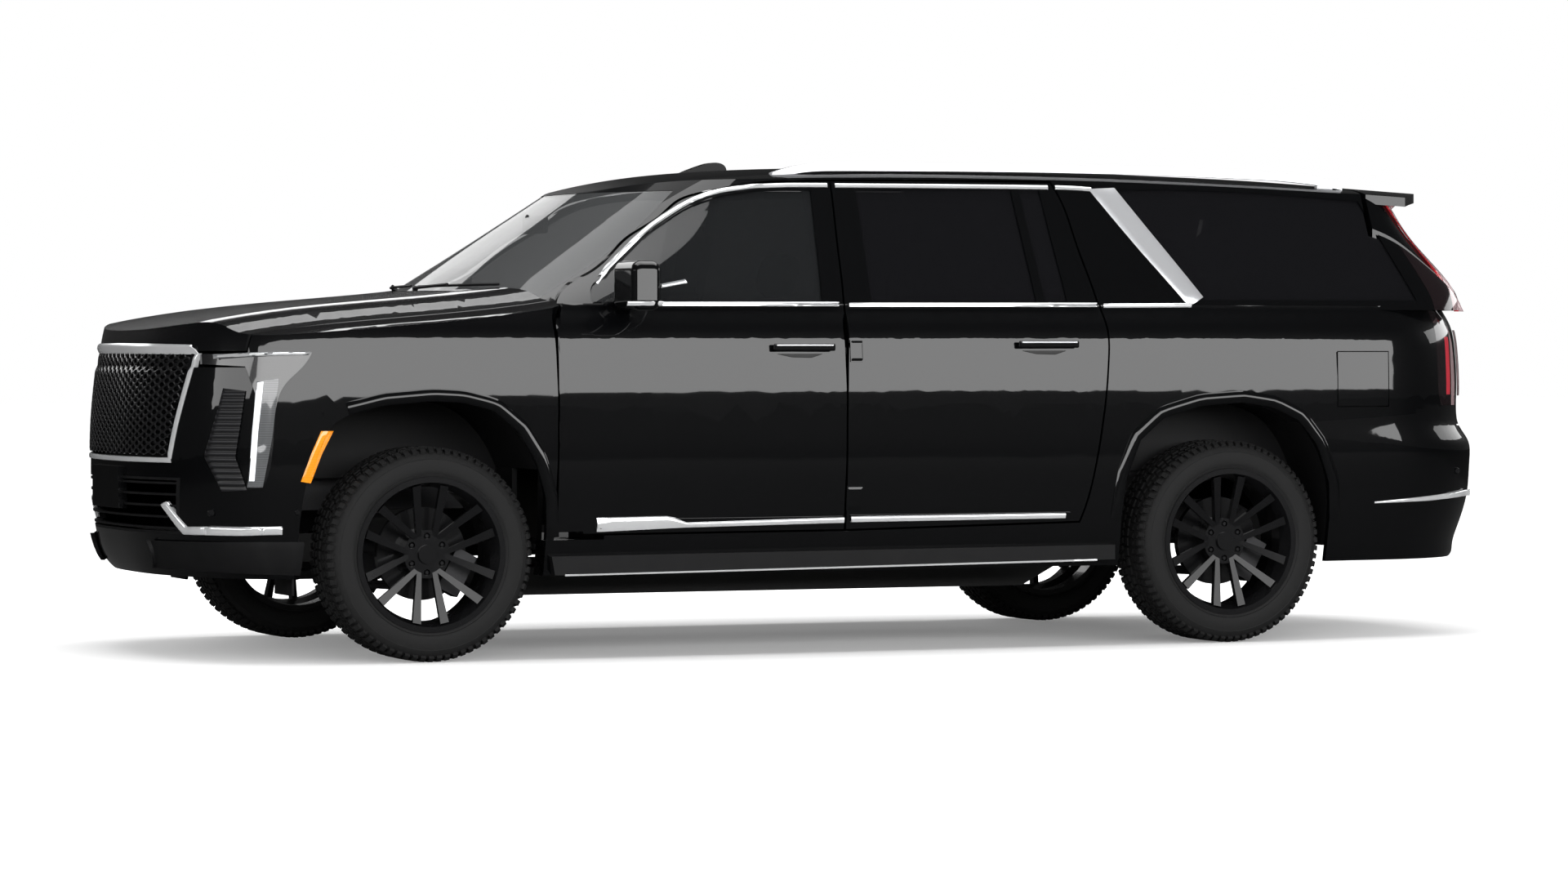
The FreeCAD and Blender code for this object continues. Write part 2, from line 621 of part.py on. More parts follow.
def plan_block(points, z0, z1):
    """A block whose rear edge in the plan view follows points of station and width."""
    near = [Vector(along(s), -across(v), z0) for s, v in points[::-1]]
    rear = near[:-1] + [Vector(along(s), across(v), z0) for s, v in points]
    curve = Part.BSplineCurve()
    curve.interpolate(rear)
    a, b = rear[0], rear[-1]
    fa, fb = Vector(NOSE_X - PAST, a.y, z0), Vector(NOSE_X - PAST, b.y, z0)
    wire = Part.Wire([curve.toShape(), Part.makeLine(b, fb), Part.makeLine(fb, fa),
                      Part.makeLine(fa, a)])
    return Part.Face(wire).extrude(Vector(0, 0, z1 - z0))


BONNET_SIDE = across(BONNET_SIDE_share)
bonnet_low_z = up(bonnet_front_height_share)


def bonnet_block(amount):
    rear = [(s + amount / WHEELBASE, v) for s, v in bonnet_rear_shares]
    block = plan_block(rear, bonnet_low_z - amount, HEIGHT)
    return block.common(box(NOSE_X - PAST, MID_X, -BONNET_SIDE - amount, BONNET_SIDE + amount,
                            0, HEIGHT * 2))


bonnet = front_shell.common(bonnet_block(-GAP / 2))
front_rest = front_shell.cut(bonnet_block(GAP / 2))

lamp_hole = side_block(lamp_shares, SEAT)
lamp_fill = side_block(lamp_shares, -SEAT)
lamp_zone = box(NOSE_X - PAST, along(-0.40), -WIDTH, -across(0.45), up(0.30), up(0.65))
bonnet_shut = bonnet_block(GAP / 2)

seam = [place(p) for p in front_seam_shares]
seam_points = [(NOSE_X - PAST, up(0.5750))] + seam + [(along(-0.25), 0.0), (NOSE_X - PAST, 0.0)]
bumper_side = runs_wire(polygon(seam_points), lambda p: Vector(p[0], -HALF_WIDTH - PAST, p[1]))
bumper_zone = Part.Face(bumper_side).extrude(Vector(0, WIDTH + PAST * 2, 0))
front_arch = side_block([front_arch_shares, [front_arch_shares[-1], front_arch_shares[0]]],
                        0.0, across(0.5))
ARCH_WALL = 8.0
door_edge_x = along(0.149)
left_half = box(NOSE_X - PAST, TAIL_X + PAST, -WIDTH, 0, -PAST, HEIGHT * 2)
wing_zone = box(NOSE_X - PAST, along(0.205), -WIDTH, -across(0.30), up(0.235), HEIGHT)
front_relief = relief(front_pin_x, hinge_relief_radius)
wing = front_rest.common(wing_zone).cut(bumper_zone).cut(front_hole).cut(front_arch)
wing = wing.cut(lamp_hole).cut(front_relief)
wing = wing.cut(box(NOSE_X - PAST, along(-0.6), -BONNET_SIDE, 0, 0, HEIGHT))
hood_pin_x, hood_pin_z = along(0.1550), up(0.7035)
HOOD_LUG_RADIUS = 6.0
HOOD_LUG_THICK = 8.0
HOOD_LUG_Y = across(0.833)
HOOD_LUG_ROOM = 5.5
hood_notch = box(along(0.1250), hood_pin_x + HOOD_LUG_RADIUS + HOOD_LUG_ROOM, -HOOD_LUG_Y - HOOD_LUG_ROOM,
                 -HOOD_LUG_Y + HOOD_LUG_THICK * 2 + SEAT + HOOD_LUG_ROOM, up(0.6900), up(0.7300))
wing = wing.cut(hood_notch).cut(top_solid.common(box(along(0.10), along(0.25), -WIDTH, 0, 0, HEIGHT)))
wing = max(wing.Solids, key=lambda piece: piece.Volume)
both("wings", wing)

bumper_shell = lower_outer.cut(lower_panel).common(bumper_zone)
grille_hole = front_face_block(across(0.560), across(0.655), up(0.3900), up(0.6200), PAST * 2)
lower_hole = front_face_block(across(0.590), across(0.612), up(0.2500), up(0.3600), PAST * 2)
lamps = lower_outer.common(lamp_zone).cut(lower_lamp).common(bonnet_outer).common(lamp_fill)
lamps = lamps.cut(grille_hole)
both("headlamps", lamps)
bumper = bumper_shell.cut(grille_hole).cut(lower_hole)
for arch in (front_arch, mirrored(front_arch)):
    bumper = bumper.cut(arch)
for lamp in (lamp_hole, mirrored(lamp_hole)):
    bumper = bumper.cut(lamp)
bumper = bumper.cut(bonnet_shut)
# The bare panel that a number plate is screwed to.
PLATE_DEEP = 20.0
PLATE_HOLE_RADIUS = 3.0
PLATE_HOLE_WIDE = 177.8
PLATE_HOLE_TALL = 120.65
plate_shares = (0.190, 0.2950, 0.3780)
plate_half, plate_low, plate_high = across(plate_shares[0]), up(plate_shares[1]), up(plate_shares[2])
plate = box(NOSE_X - PLATE_STAND, NOSE_X + PLATE_DEEP, -plate_half, plate_half, plate_low, plate_high)
for y in (-PLATE_HOLE_WIDE / 2, PLATE_HOLE_WIDE / 2):
    for z in (-PLATE_HOLE_TALL / 2, PLATE_HOLE_TALL / 2):
        plate = plate.cut(Part.makeCylinder(PLATE_HOLE_RADIUS, PLATE_STAND + PLATE_DEEP,
                                            Vector(NOSE_X - PLATE_STAND, y, (plate_low + plate_high) / 2 + z),
                                            Vector(1, 0, 0)))
plate_room = box(NOSE_X - PLATE_STAND - SEAT, NOSE_X + PLATE_DEEP + SEAT, -plate_half - SEAT,
                 plate_half + SEAT, plate_low - SEAT, plate_high + SEAT)
bumper = bumper.cut(box(NOSE_X - PLATE_STAND, NOSE_X + PLATE_DEEP, -plate_half, plate_half, plate_low,
                        plate_high)).fuse(plate)
save("front_bumper", bumper)

# The grille: a frame with bars, set back in its hole.
BAR_PITCH = 26.0
BAR_THICK = 8.0
BAR_DEEP = 16.0
GRILLE_SET = 6.0
FRAME_WIDE = 20.0


def taper_block(half_low, half_high, z_low, z_high, side, foot, head):
    """The same hole, narrower by side and cut short by foot and head."""
    def half(z):
        return half_low + (half_high - half_low) * (z - z_low) / (z_high - z_low) - side
    return front_face_block(half(z_low + foot), half(z_high - head), z_low + foot, z_high - head, PAST * 2)


grille_size = (across(0.560), across(0.655), up(0.3900), up(0.6200))
grille_fill = taper_block(*grille_size, SEAT, SEAT, GAP)
grille_inner = taper_block(*grille_size, FRAME_WIDE, FRAME_WIDE, GAP + FRAME_WIDE)
grille_outer = lower_outer.common(grille_fill)
grille_frame = grille_outer.cut(lower_solid(BAR_DEEP * 3)).cut(grille_inner)
grille_shell = grille_outer.common(grille_inner).common(lower_solid(GRILLE_SET))
grille_shell = grille_shell.cut(lower_solid(GRILLE_SET + BAR_DEEP * 2))
grille_frame = grille_frame.cut(bonnet_shut)
bars = []
z = up(0.3900) + FRAME_WIDE + BAR_PITCH
while z < up(0.6200) - GAP - FRAME_WIDE - BAR_PITCH / 2:
    bars.append(box(NOSE_X - PAST, NOSE_X + PAST, -HALF_WIDTH, HALF_WIDTH,
                    z - BAR_THICK / 2, z + BAR_THICK / 2))
    z += BAR_PITCH
bars = grille_shell.common(Part.makeCompound(bars))
grille = grille_frame.multiFuse([b for b in bars.Solids])
save("grille", grille)
lower_size = (across(0.590), across(0.612), up(0.2500), up(0.3600))
lower_fill = taper_block(*lower_size, SEAT, SEAT, SEAT)
lower_inner = taper_block(*lower_size, FRAME_WIDE, FRAME_WIDE / 2, FRAME_WIDE / 2)
lower_shell = lower_outer.common(lower_fill).cut(lower_solid(BAR_DEEP * 2))
lower_frame = lower_shell.cut(lower_inner)
slats = []
for i in range(5):
    z = up(0.2500) + (i + 0.5) * (up(0.3600) - up(0.2500)) / 5
    slats.append(box(NOSE_X - PAST, NOSE_X + PAST, -HALF_WIDTH, HALF_WIDTH,
                     z - BAR_THICK / 2, z + BAR_THICK / 2))
slats = lower_shell.common(lower_inner).common(Part.makeCompound(slats))
save("lower_grille", lower_frame.multiFuse(slats.Solids).cut(plate_room))

# Body sides: sills, posts, quarter panels and roof edges.
GATE_SIDE_share = 0.760
GATE_LOW_share = 0.447
GATE_TOP_SIDE_share = 0.760
GATE_FRONT_station = 1.558
GATE_FLOOR_station = 1.700
gate_side_low_share = 0.760
LAMP_IN_share = 0.800
ROOF_EDGE_share = 0.640
HEADER_station = 0.285
lamp_rear_shares = [(1.575, 0.9240), (1.660, 0.8200), (1.7250, 0.7250), (1.7350, 0.6700),
                    (1.7380, 0.6000), (1.7400, 0.5180), (1.7560, 0.4900), (2.10, 0.4900),
                    (2.10, 0.9240)]

LUG_THICK = 8.0
screen_shares = [(0.800, 0.7030), (0.620, 0.9300)]
back_glass_shares = [(0.690, 0.7180), (0.585, 0.8950)]
SCREEN_DEEP_share = 0.42


def screen_block(shares, amount, x0, x1):
    (low_v, low_h), (high_v, high_h) = shares
    points = [(-across(low_v) - amount, up(low_h) - amount), (across(low_v) + amount, up(low_h) - amount),
              (across(high_v) + amount, up(high_h) + amount),
              (-across(high_v) - amount, up(high_h) + amount)]
    wire = Part.makePolygon([Vector(x0, y, z) for y, z in points + points[:1]])
    return Part.Face(wire).extrude(Vector(x1 - x0, 0, 0))


rear_arch = side_block([rear_arch_shares, [rear_arch_shares[-1], rear_arch_shares[0]]],
                       0.0, across(0.5))
rear_points = [place(p) for p in rear_seam_shares]
rear_points = ([(along(1.16), 0.0), (along(1.16), up(0.4571))] + rear_points
               + [(along(1.80), up(GATE_LOW_share)), (TAIL_X + PAST, up(GATE_LOW_share)),
                  (TAIL_X + PAST, 0.0)])
rear_face = Part.Face(runs_wire(polygon(rear_points), lambda p: Vector(p[0], -WIDTH, p[1])))
rear_bumper_zone = rear_face.extrude(Vector(0, WIDTH * 2, 0))


def gate_block(amount, front):
    """The tailgate's zone: a tapering outline seen from behind."""
    half_low, half_high = across(gate_side_low_share) + amount, across(GATE_TOP_SIDE_share) + amount
    z_low, z_belt, z_top = up(GATE_LOW_share) - amount, up(0.700), HEIGHT
    half_belt = across(GATE_SIDE_share) + amount
    points = [(-half_low, z_low), (half_low, z_low), (half_belt, z_belt), (half_high, z_top),
              (-half_high, z_top), (-half_belt, z_belt)]
    wire = Part.makePolygon([Vector(along(GATE_FRONT_station) - front, y, z)
                             for y, z in points + points[:1]])
    return Part.Face(wire).extrude(Vector(TAIL_X + PAST, 0, 0))


GATE_BACK = 8.0          # the gate's top edge behind its hinge axis
GATE_AHEAD = 16.0        # the roof's edge ahead of that axis
gate_hole = gate_block(GAP / 2, GATE_AHEAD)
gate_fill = gate_block(-GAP / 2, -GATE_BACK)
rear_lamp_runs = [lamp_rear_shares[:3], lamp_rear_shares[2:6], lamp_rear_shares[5:7],
                  lamp_rear_shares[6:8], lamp_rear_shares[7:9],
                  [lamp_rear_shares[8], lamp_rear_shares[0]]]
rear_lamp_hole = side_block(rear_lamp_runs, SEAT)
rear_lamp_fill = side_block(rear_lamp_runs, -SEAT)

left_back = box(along(0.13), TAIL_X + PAST, -WIDTH, 0, 0, HEIGHT * 2)
side_low = side_shell.common(left_back)
side_low = side_low.common(box(along(0.13), TAIL_X, -WIDTH, -across(0.45), 0, HEIGHT))
front_gone = box(NOSE_X, along(0.205), -WIDTH, 0, up(0.235) - SEAT, HEIGHT)
side_high = top_pillars.common(left_back)
roof_zone = box(NOSE_X, TAIL_X, -across(ROOF_EDGE_share) - SEAT, 0, up(0.80), HEIGHT * 2)
windscreen_zone_x = along(0.22)

SIDE_FRONT_X = along(0.16)
side = side_low.cut(front_gone)
side_all = []
for piece in (side_low.cut(front_gone), side_high):
    for tool in (front_hole, rear_hole, gate_hole, rear_lamp_hole):
        piece = piece.cut(tool)
    side_all.append(piece)
side_low_cut = side_all[0].cut(rear_arch).cut(rear_bumper_zone).cut(front_arch)
screen_hole = screen_block(screen_shares, 0.0, NOSE_X, along(SCREEN_DEEP_share))
side_high_cut = side_all[1].cut(quarter_window).cut(roof_zone).cut(screen_hole)
print("sides", side_low_cut.isValid(), side_high_cut.isValid(), len(side_low_cut.Solids), len(side_high_cut.Solids))
POST_HALF = 55.0


POST_FOOT_Z, POST_BELT_Z = up(0.235), up(0.7005)
post_low = lower_solid(DOOR_THICK + POST_GAP)
post_high = glass_solid(FRAME_THICK + POST_GAP)


def post(x, z0, z1):
    """An upright behind the doors, with a foot on the sill and a knee at the belt."""
    inner = DOOR_THICK + POST_GAP + POST_THICK
    near, far = -WIDTH, -across(0.4)
    low = post_low.common(box(x - POST_HALF, x + POST_HALF, near, far, z0, min(z1, POST_BELT_Z)))
    low = low.cut(lower_solid(inner))
    foot = lower_solid(DOOR_THICK / 2).common(box(x - POST_HALF, x + POST_HALF, near, far, z0, POST_FOOT_Z))
    foot = foot.cut(lower_solid(inner))
    y = skin_half_width(POST_BELT_Z) - DOOR_THICK - POST_GAP - POST_THICK
    knee = box(x - POST_HALF, x + POST_HALF, -y - POST_THICK, -y, POST_BELT_Z - POST_THICK,
               min(z1, POST_BELT_Z + POST_THICK))
    if z1 < POST_BELT_Z:
        return [low, foot, knee]
    high = post_high.common(box(x - POST_HALF, x + POST_HALF, near, far, POST_BELT_Z + GAP, z1))
    high = high.cut(glass_solid(FRAME_THICK + POST_GAP + POST_THICK)).common(roof_frame)
    return [low, foot, high, knee]


def hood_bracket():
    y = -HOOD_LUG_Y + HOOD_LUG_THICK + SEAT
    disc = Part.makeCylinder(HOOD_LUG_RADIUS, HOOD_LUG_THICK, Vector(hood_pin_x, y, hood_pin_z),
                             Vector(0, 1, 0))
    leg = box(hood_pin_x - HOOD_LUG_RADIUS, hood_pin_x + HOOD_LUG_RADIUS, y, y + HOOD_LUG_THICK,
              hood_pin_z - POST_THICK, hood_pin_z)
    return disc.fuse(leg)


side_parts = [side_low_cut.cut(hood_notch), side_high_cut.cut(hood_notch)]
side_parts += post(split_x, up(0.19), up(0.97))
side_parts += post(front_pin_x, up(0.19), up(0.694))
side_parts += front_fixed + rear_fixed + [hood_bracket()]
body_side = side_parts[0]
for piece in side_parts[1:]:
    body_side = body_side.fuse(piece)

# Fuel door, on the left only.
FUEL_GAP = 4.0
FUEL_THICK = 12.0
FUEL_DEEP = 70.0
FUEL_PIN_RADIUS = 2.5
FUEL_PIN_BACK = 8.0
FUEL_PIN_IN = 9.0
FUEL_ARM = 20.0
FUEL_BORE = 0.1
fuel_runs = polygon(fuel_shares)
fuel_low_z, fuel_high_z = up(fuel_shares[2][1]), up(fuel_shares[0][1])
fuel_mid_z = (fuel_low_z + fuel_high_z) / 2
fuel_front_x = along(fuel_shares[3][0])
fuel_pin_x = fuel_front_x + FUEL_PIN_BACK
fuel_skin_y = skin_at(fuel_pin_x, fuel_mid_z)
fuel_pin_y = fuel_skin_y - FUEL_PIN_IN
fuel_hole = side_block(fuel_runs, FUEL_GAP, fuel_skin_y - FUEL_DEEP)
fuel_fill = side_block(fuel_runs, 0.0, across(0.6))
fuel_relief = Part.makeCylinder(math.hypot(FUEL_PIN_BACK, FUEL_PIN_IN) + FUEL_GAP / 2,
                                fuel_high_z - fuel_low_z, Vector(fuel_pin_x, -fuel_pin_y, fuel_low_z))
fuel_pin = Part.makeCylinder(FUEL_PIN_RADIUS, fuel_high_z - fuel_low_z + FUEL_GAP * 4,
                             Vector(fuel_pin_x, -fuel_pin_y, fuel_low_z - FUEL_GAP * 2))
fuel_door = lower_outer.cut(lower_solid(FUEL_THICK)).common(fuel_fill)
fuel_arm = box(fuel_pin_x - FUEL_PIN_BACK * 0.7, fuel_pin_x + FUEL_PIN_BACK * 0.7,
               -fuel_skin_y + FUEL_THICK / 2, -fuel_pin_y + FUEL_PIN_BACK * 0.7,
               fuel_mid_z - FUEL_ARM, fuel_mid_z + FUEL_ARM)
fuel_bore = Part.makeCylinder(FUEL_PIN_RADIUS + FUEL_BORE, HEIGHT, Vector(fuel_pin_x, -fuel_pin_y, 0))
fuel_door = fuel_door.fuse(fuel_arm).cut(fuel_bore)
save("fuel_door", fuel_door)
body_left = body_side.cut(fuel_hole).cut(fuel_relief).fuse(fuel_pin)
print("body side", body_side.isValid(), len(body_side.Solids), len(body_left.Solids))
save("body_side_left", body_left)
save("body_side_right", mirrored(body_side))

# Roof, screens and tailgate.
def roof_share_at(station):
    for (s0, h0), (s1, h1) in zip(roof_shares, roof_shares[1:]):
        if station <= s1:
            return h0 + (h1 - h0) * (station - s0) / (s1 - s0)
    return roof_shares[-1][1]


windscreen = glass_solid(SEAT * 10).cut(glass_solid(SEAT * 10 + GLASS_THICK))
windscreen = windscreen.common(screen_block(screen_shares, -SEAT, NOSE_X, along(SCREEN_DEEP_share)))
windscreen = windscreen.cut(front_hole).cut(mirrored(front_hole))
roof_shell = top_solid.cut(glass_pillar.common(roof_skin))
roof_strip = box(NOSE_X, TAIL_X, -across(ROOF_EDGE_share), across(ROOF_EDGE_share), up(0.80), HEIGHT * 2)
roof = roof_shell.common(roof_strip).cut(screen_hole).cut(gate_hole)
for hole in (front_hole, mirrored(front_hole), rear_hole, mirrored(rear_hole)):
    roof = roof.cut(hole)
POD_HALF = 28.0
pod_shares = [(0.4030, 0.9700), (0.4150, 0.9800), (0.4350, 0.9930), (0.4560, 1.0000), (0.4640, 0.9960),
              (0.4680, 0.9750)]
pod_wire = runs_wire([pod_shares_run for pod_shares_run in ([place(p) for p in pod_shares],
                      [place(pod_shares[-1]), place(pod_shares[0])])], lambda p: Vector(p[0], -POD_HALF, p[1]))
roof = roof.fuse(Part.Face(pod_wire).extrude(Vector(0, POD_HALF * 2, 0)))
side_glass = glass_face.common(quarter_window).common(top_solid).cut(gate_hole)
save("fixed_glass", [windscreen, side_glass, mirrored(side_glass)])

back_hole = screen_block(back_glass_shares, 0.0, along(1.45), TAIL_X)
gate_low = side_shell.common(gate_fill)
gate_high = top_pillars.common(gate_fill)
spoiler_shares = [(1.700, 0.700), (1.755, 0.621), (1.820, 0.485), (1.855, 0.291), (1.864, 0.0)]
SPOILER_THICK = 38.0
spoiler_z = up(0.80)


def spoiler_plan():
    far = [Vector(along(s), across(v), spoiler_z) for s, v in spoiler_shares]
    near = [Vector(along(s), -across(v), spoiler_z) for s, v in spoiler_shares[:-1]]
    curve = Part.BSplineCurve()
    curve.interpolate(near + far[::-1])
    x0 = along(GATE_FRONT_station) + GATE_BACK
    a, b = near[0], far[0]
    fa, fb = Vector(x0, a.y, spoiler_z), Vector(x0, b.y, spoiler_z)
    wire = Part.Wire([curve.toShape(), Part.makeLine(b, fb), Part.makeLine(fb, fa),
                      Part.makeLine(fa, a)])
    return Part.Face(wire).extrude(Vector(0, 0, HEIGHT))


roof_thin = under_surface(roof_shares, roof_fall_shares, SPOILER_THICK, up(0.5))
spoiler = roof_outer.cut(roof_thin).common(spoiler_plan())
gate = gate_low.fuse(gate_high).cut(back_hole)
gate = gate.fuse(spoiler.common(gate_fill))
GATE_PIN_BELOW = 14.0
GATE_LUG_RADIUS = 7.0
GATE_LUG_Y = across(0.290)
gate_pin_x = along(GATE_FRONT_station)
gate_pin_z = up(roof_share_at(GATE_FRONT_station)) - GATE_PIN_BELOW
for side in (-1, 1):
    y_gate, y_roof = side * GATE_LUG_Y, side * (GATE_LUG_Y + LUG_THICK + SEAT)
    for name, y, step in (("gate", y_gate, 1), ("roof", y_roof, -1)):
        disc = Part.makeCylinder(GATE_LUG_RADIUS, LUG_THICK, Vector(gate_pin_x, y, gate_pin_z),
                                 Vector(0, side, 0))
        far_x = gate_pin_x + step * GATE_AHEAD * 3
        arm = box(min(gate_pin_x, far_x), max(gate_pin_x, far_x), min(y, y + side * LUG_THICK),
                  max(y, y + side * LUG_THICK), gate_pin_z - GATE_LUG_RADIUS,
                  gate_pin_z + GATE_LUG_RADIUS / 2)
        if name == "gate":
            gate = gate.fuse(disc.fuse(arm))
        else:
            roof = roof.fuse(disc.fuse(arm))
print("gate", gate.isValid(), len(gate.Solids), spoiler.isValid())
save("tailgate", gate)
save("roof", roof)


def shifted(shape, step_x):
    moved = shape.copy()
    moved.translate(Vector(step_x, 0, 0))
    return moved


back_zone = top_solid.common(screen_block(back_glass_shares, PANEL_THICK, along(1.50), TAIL_X))
gate_glass = shifted(back_zone, -GLASS_INSET).cut(shifted(back_zone, -GLASS_INSET - GLASS_THICK))
gate_glass = gate_glass.common(screen_block(back_glass_shares, -SEAT, along(1.60), TAIL_X))
save("tailgate_glass", gate_glass)

# Rear bumper and tail lamps.
hitch_x0, hitch_z = place((1.80, 0.235))
RAIL_TALL = 110.0
HITCH_BORE = 50.8
HITCH_OUT = 64.0
HITCH_LONG = 200.0
hitch_mid = hitch_z - RAIL_TALL / 2
hitch_room = box(hitch_x0, TAIL_X + PAST, -HITCH_OUT / 2 - GAP, HITCH_OUT / 2 + GAP,
                 hitch_mid - HITCH_OUT / 2 - GAP, hitch_mid + HITCH_OUT / 2 + GAP)
rear_bumper = lower_outer.cut(lower_panel).common(rear_bumper_zone).cut(gate_hole).cut(hitch_room)
for arch in (rear_arch, mirrored(rear_arch)):
    rear_bumper = rear_bumper.cut(arch)
rear_bumper = rear_bumper.cut(rear_lamp_hole).cut(mirrored(rear_lamp_hole))
save("rear_bumper", rear_bumper)
lamp_low = side_shell.common(rear_lamp_fill).cut(gate_hole)
lamp_high = top_pillars.common(rear_lamp_fill).cut(gate_hole)
tail_lamp = lamp_low.fuse(lamp_high).common(box(NOSE_X, TAIL_X * 2, -WIDTH, 0, 0, HEIGHT))
both("tail_lamps", tail_lamp)

# Cowl, firewall, floor and wheel housings.
COWL_SIDE = across(0.800)
COWL_PLATE_SIDE = across(0.720)
SHEET = 20.0
FLOOR_Z = up(0.213)
REAR_FLOOR_Z = up(0.345)
FLOOR_STEP_station = 0.840
FLOOR_SIDE_share = 0.790
FLOOR_END_station = 1.840
LINER_THICK = 8.0
front_liner_in_share = 0.490
rear_liner_in_share = 0.665
liner_open_share = 0.355

fire_x = along(0.125)
cowl_z = up(0.6923)
fire_half = COWL_SIDE - POST_THICK * 2
firewall = box(fire_x, fire_x + SHEET, -fire_half, fire_half, FLOOR_Z + SHEET, cowl_z - SHEET)
cowl_plate = box(along(0.040), along(0.160), -COWL_PLATE_SIDE, COWL_PLATE_SIDE, cowl_z - SHEET, cowl_z)
COWL_BAND_SIDE = across(0.800)
cowl_band = top_pillars.common(box(along(0.02), along(0.13) - SEAT, -COWL_BAND_SIDE, COWL_BAND_SIDE,
                               up(0.69), up(0.702)))


def both_sides(shape):
    return [shape, mirrored(shape)]


def hood_lug():
    """The ear at each rear corner of the bonnet."""
    disc = Part.makeCylinder(HOOD_LUG_RADIUS, HOOD_LUG_THICK, Vector(hood_pin_x, -HOOD_LUG_Y, hood_pin_z),
                             Vector(0, 1, 0))
    front_x = along(0.1400)
    points = [(hood_pin_x, hood_pin_z - HOOD_LUG_RADIUS), (hood_pin_x, hood_pin_z + HOOD_LUG_RADIUS),
              (front_x, up(0.7025)), (front_x, up(0.6950))]
    wire = Part.makePolygon([Vector(x, -HOOD_LUG_Y, z) for x, z in points + points[:1]])
    return disc.fuse(Part.Face(wire).extrude(Vector(0, HOOD_LUG_THICK, 0)))


bonnet = bonnet.cut(glass_solid(-GAP).common(box(along(0.03), along(0.25), -WIDTH, WIDTH, 0, HEIGHT)))
for piece in both_sides(hood_lug()):
    bonnet = bonnet.fuse(piece)
print("bonnet", bonnet.isValid(), len(bonnet.Solids))
save("bonnet", bonnet)
cowl = cowl_plate.fuse(firewall)
for piece in cowl_band.Solids:
    cowl = cowl.fuse(piece)
cowl = cowl.cut(box(along(0.02), along(0.20), -WIDTH, WIDTH, up(0.703), HEIGHT))
for piece in both_sides(wing):
    cowl = cowl.cut(piece)
cowl = cowl.cut(body_side).cut(mirrored(body_side))
print("cowl", cowl.isValid(), len(cowl.Solids))
save("cowl", cowl)

floor_half = across(FLOOR_SIDE_share)
step_x = along(FLOOR_STEP_station)
floor_parts = [
    box(fire_x, step_x + SHEET, -floor_half, floor_half, FLOOR_Z, FLOOR_Z + SHEET),
    box(step_x, step_x + SHEET, -floor_half, floor_half, FLOOR_Z, REAR_FLOOR_Z + SHEET),
    box(step_x, along(FLOOR_END_station), -across(0.655), across(0.655), REAR_FLOOR_Z,
        REAR_FLOOR_Z + SHEET)]
floor = fused(floor_parts)
# The floor's front corners are notched for the wheels at full lock.
lock_notch = box(NOSE_X, along(0.1400), -WIDTH, -across(0.655), 0, up(0.30))
for piece in (lock_notch, mirrored(lock_notch)):
    floor = floor.cut(piece)


def liner(runs, in_share):
    low = box(NOSE_X - PAST, TAIL_X + PAST, -WIDTH, 0, up(0.20), HEIGHT)
    near = across(in_share)
    skin = side_block(runs, SEAT + LINER_THICK, near).cut(side_block(runs, SEAT, near + LINER_THICK))
    skin = skin.common(low).common(lower_solid(PANEL_THICK + SEAT))
    return skin.cut(box(NOSE_X, TAIL_X, -near - LINER_THICK * 2, 0, 0, up(liner_open_share)))


front_arch_runs = [front_arch_shares, [front_arch_shares[-1], front_arch_shares[0]]]
rear_arch_runs = [rear_arch_shares, [rear_arch_shares[-1], rear_arch_shares[0]]]
front_liner = liner(front_arch_runs, front_liner_in_share)
rear_liner = liner(rear_arch_runs, rear_liner_in_share)
for tool in (body_side, lamps, wing):
    front_liner = front_liner.cut(tool)
rear_liner = rear_liner.cut(body_side)
front_liner = front_liner.cut(box(fire_x - SEAT, MID_X, -WIDTH, 0, 0, HEIGHT))
floor = floor.cut(body_side).cut(mirrored(body_side)).cut(rear_liner).cut(mirrored(rear_liner))
save("floor", floor)
both("wheel_housings", [front_liner, rear_liner])

# Wheels.
TYRE_RADIUS = 410.0
TYRE_WIDTH = 276.0
BEAD_RADIUS = 284.0
TREAD_ROUND = 34.0
RIM_RADIUS = 296.0
RIM_WIDTH = 262.0
BARREL_THICK = 9.0
DISH = 46.0
SPOKE_PAIRS = 6
SPOKE_ANGLE_share = 0.30
SPOKE_WIDE = 34.0
SPOKE_NARROW = 20.0
SPOKE_DEEP = 34.0
HUB_RADIUS = 92.0
CAP_RADIUS = 36.0
CAP_THICK = 10.0
LUG_COUNT = 6
LUG_CIRCLE = 139.7
LUG_HOLE = 26.0
DISC_RADIUS = 178.0
DISC_THICK = 30.0
DISC_IN = 34.0
HUB_HOLE = 30.0
FACE_IN = 12.0


def turned(points, angle=360.0):
    """Turns a closed outline of (axial, radius) points round the Y axis."""
    wire = Part.makePolygon([Vector(0, y, r) for y, r in points + points[:1]])
    return Part.Face(wire).revolve(Vector(0, 0, 0), Vector(0, 1, 0), angle)


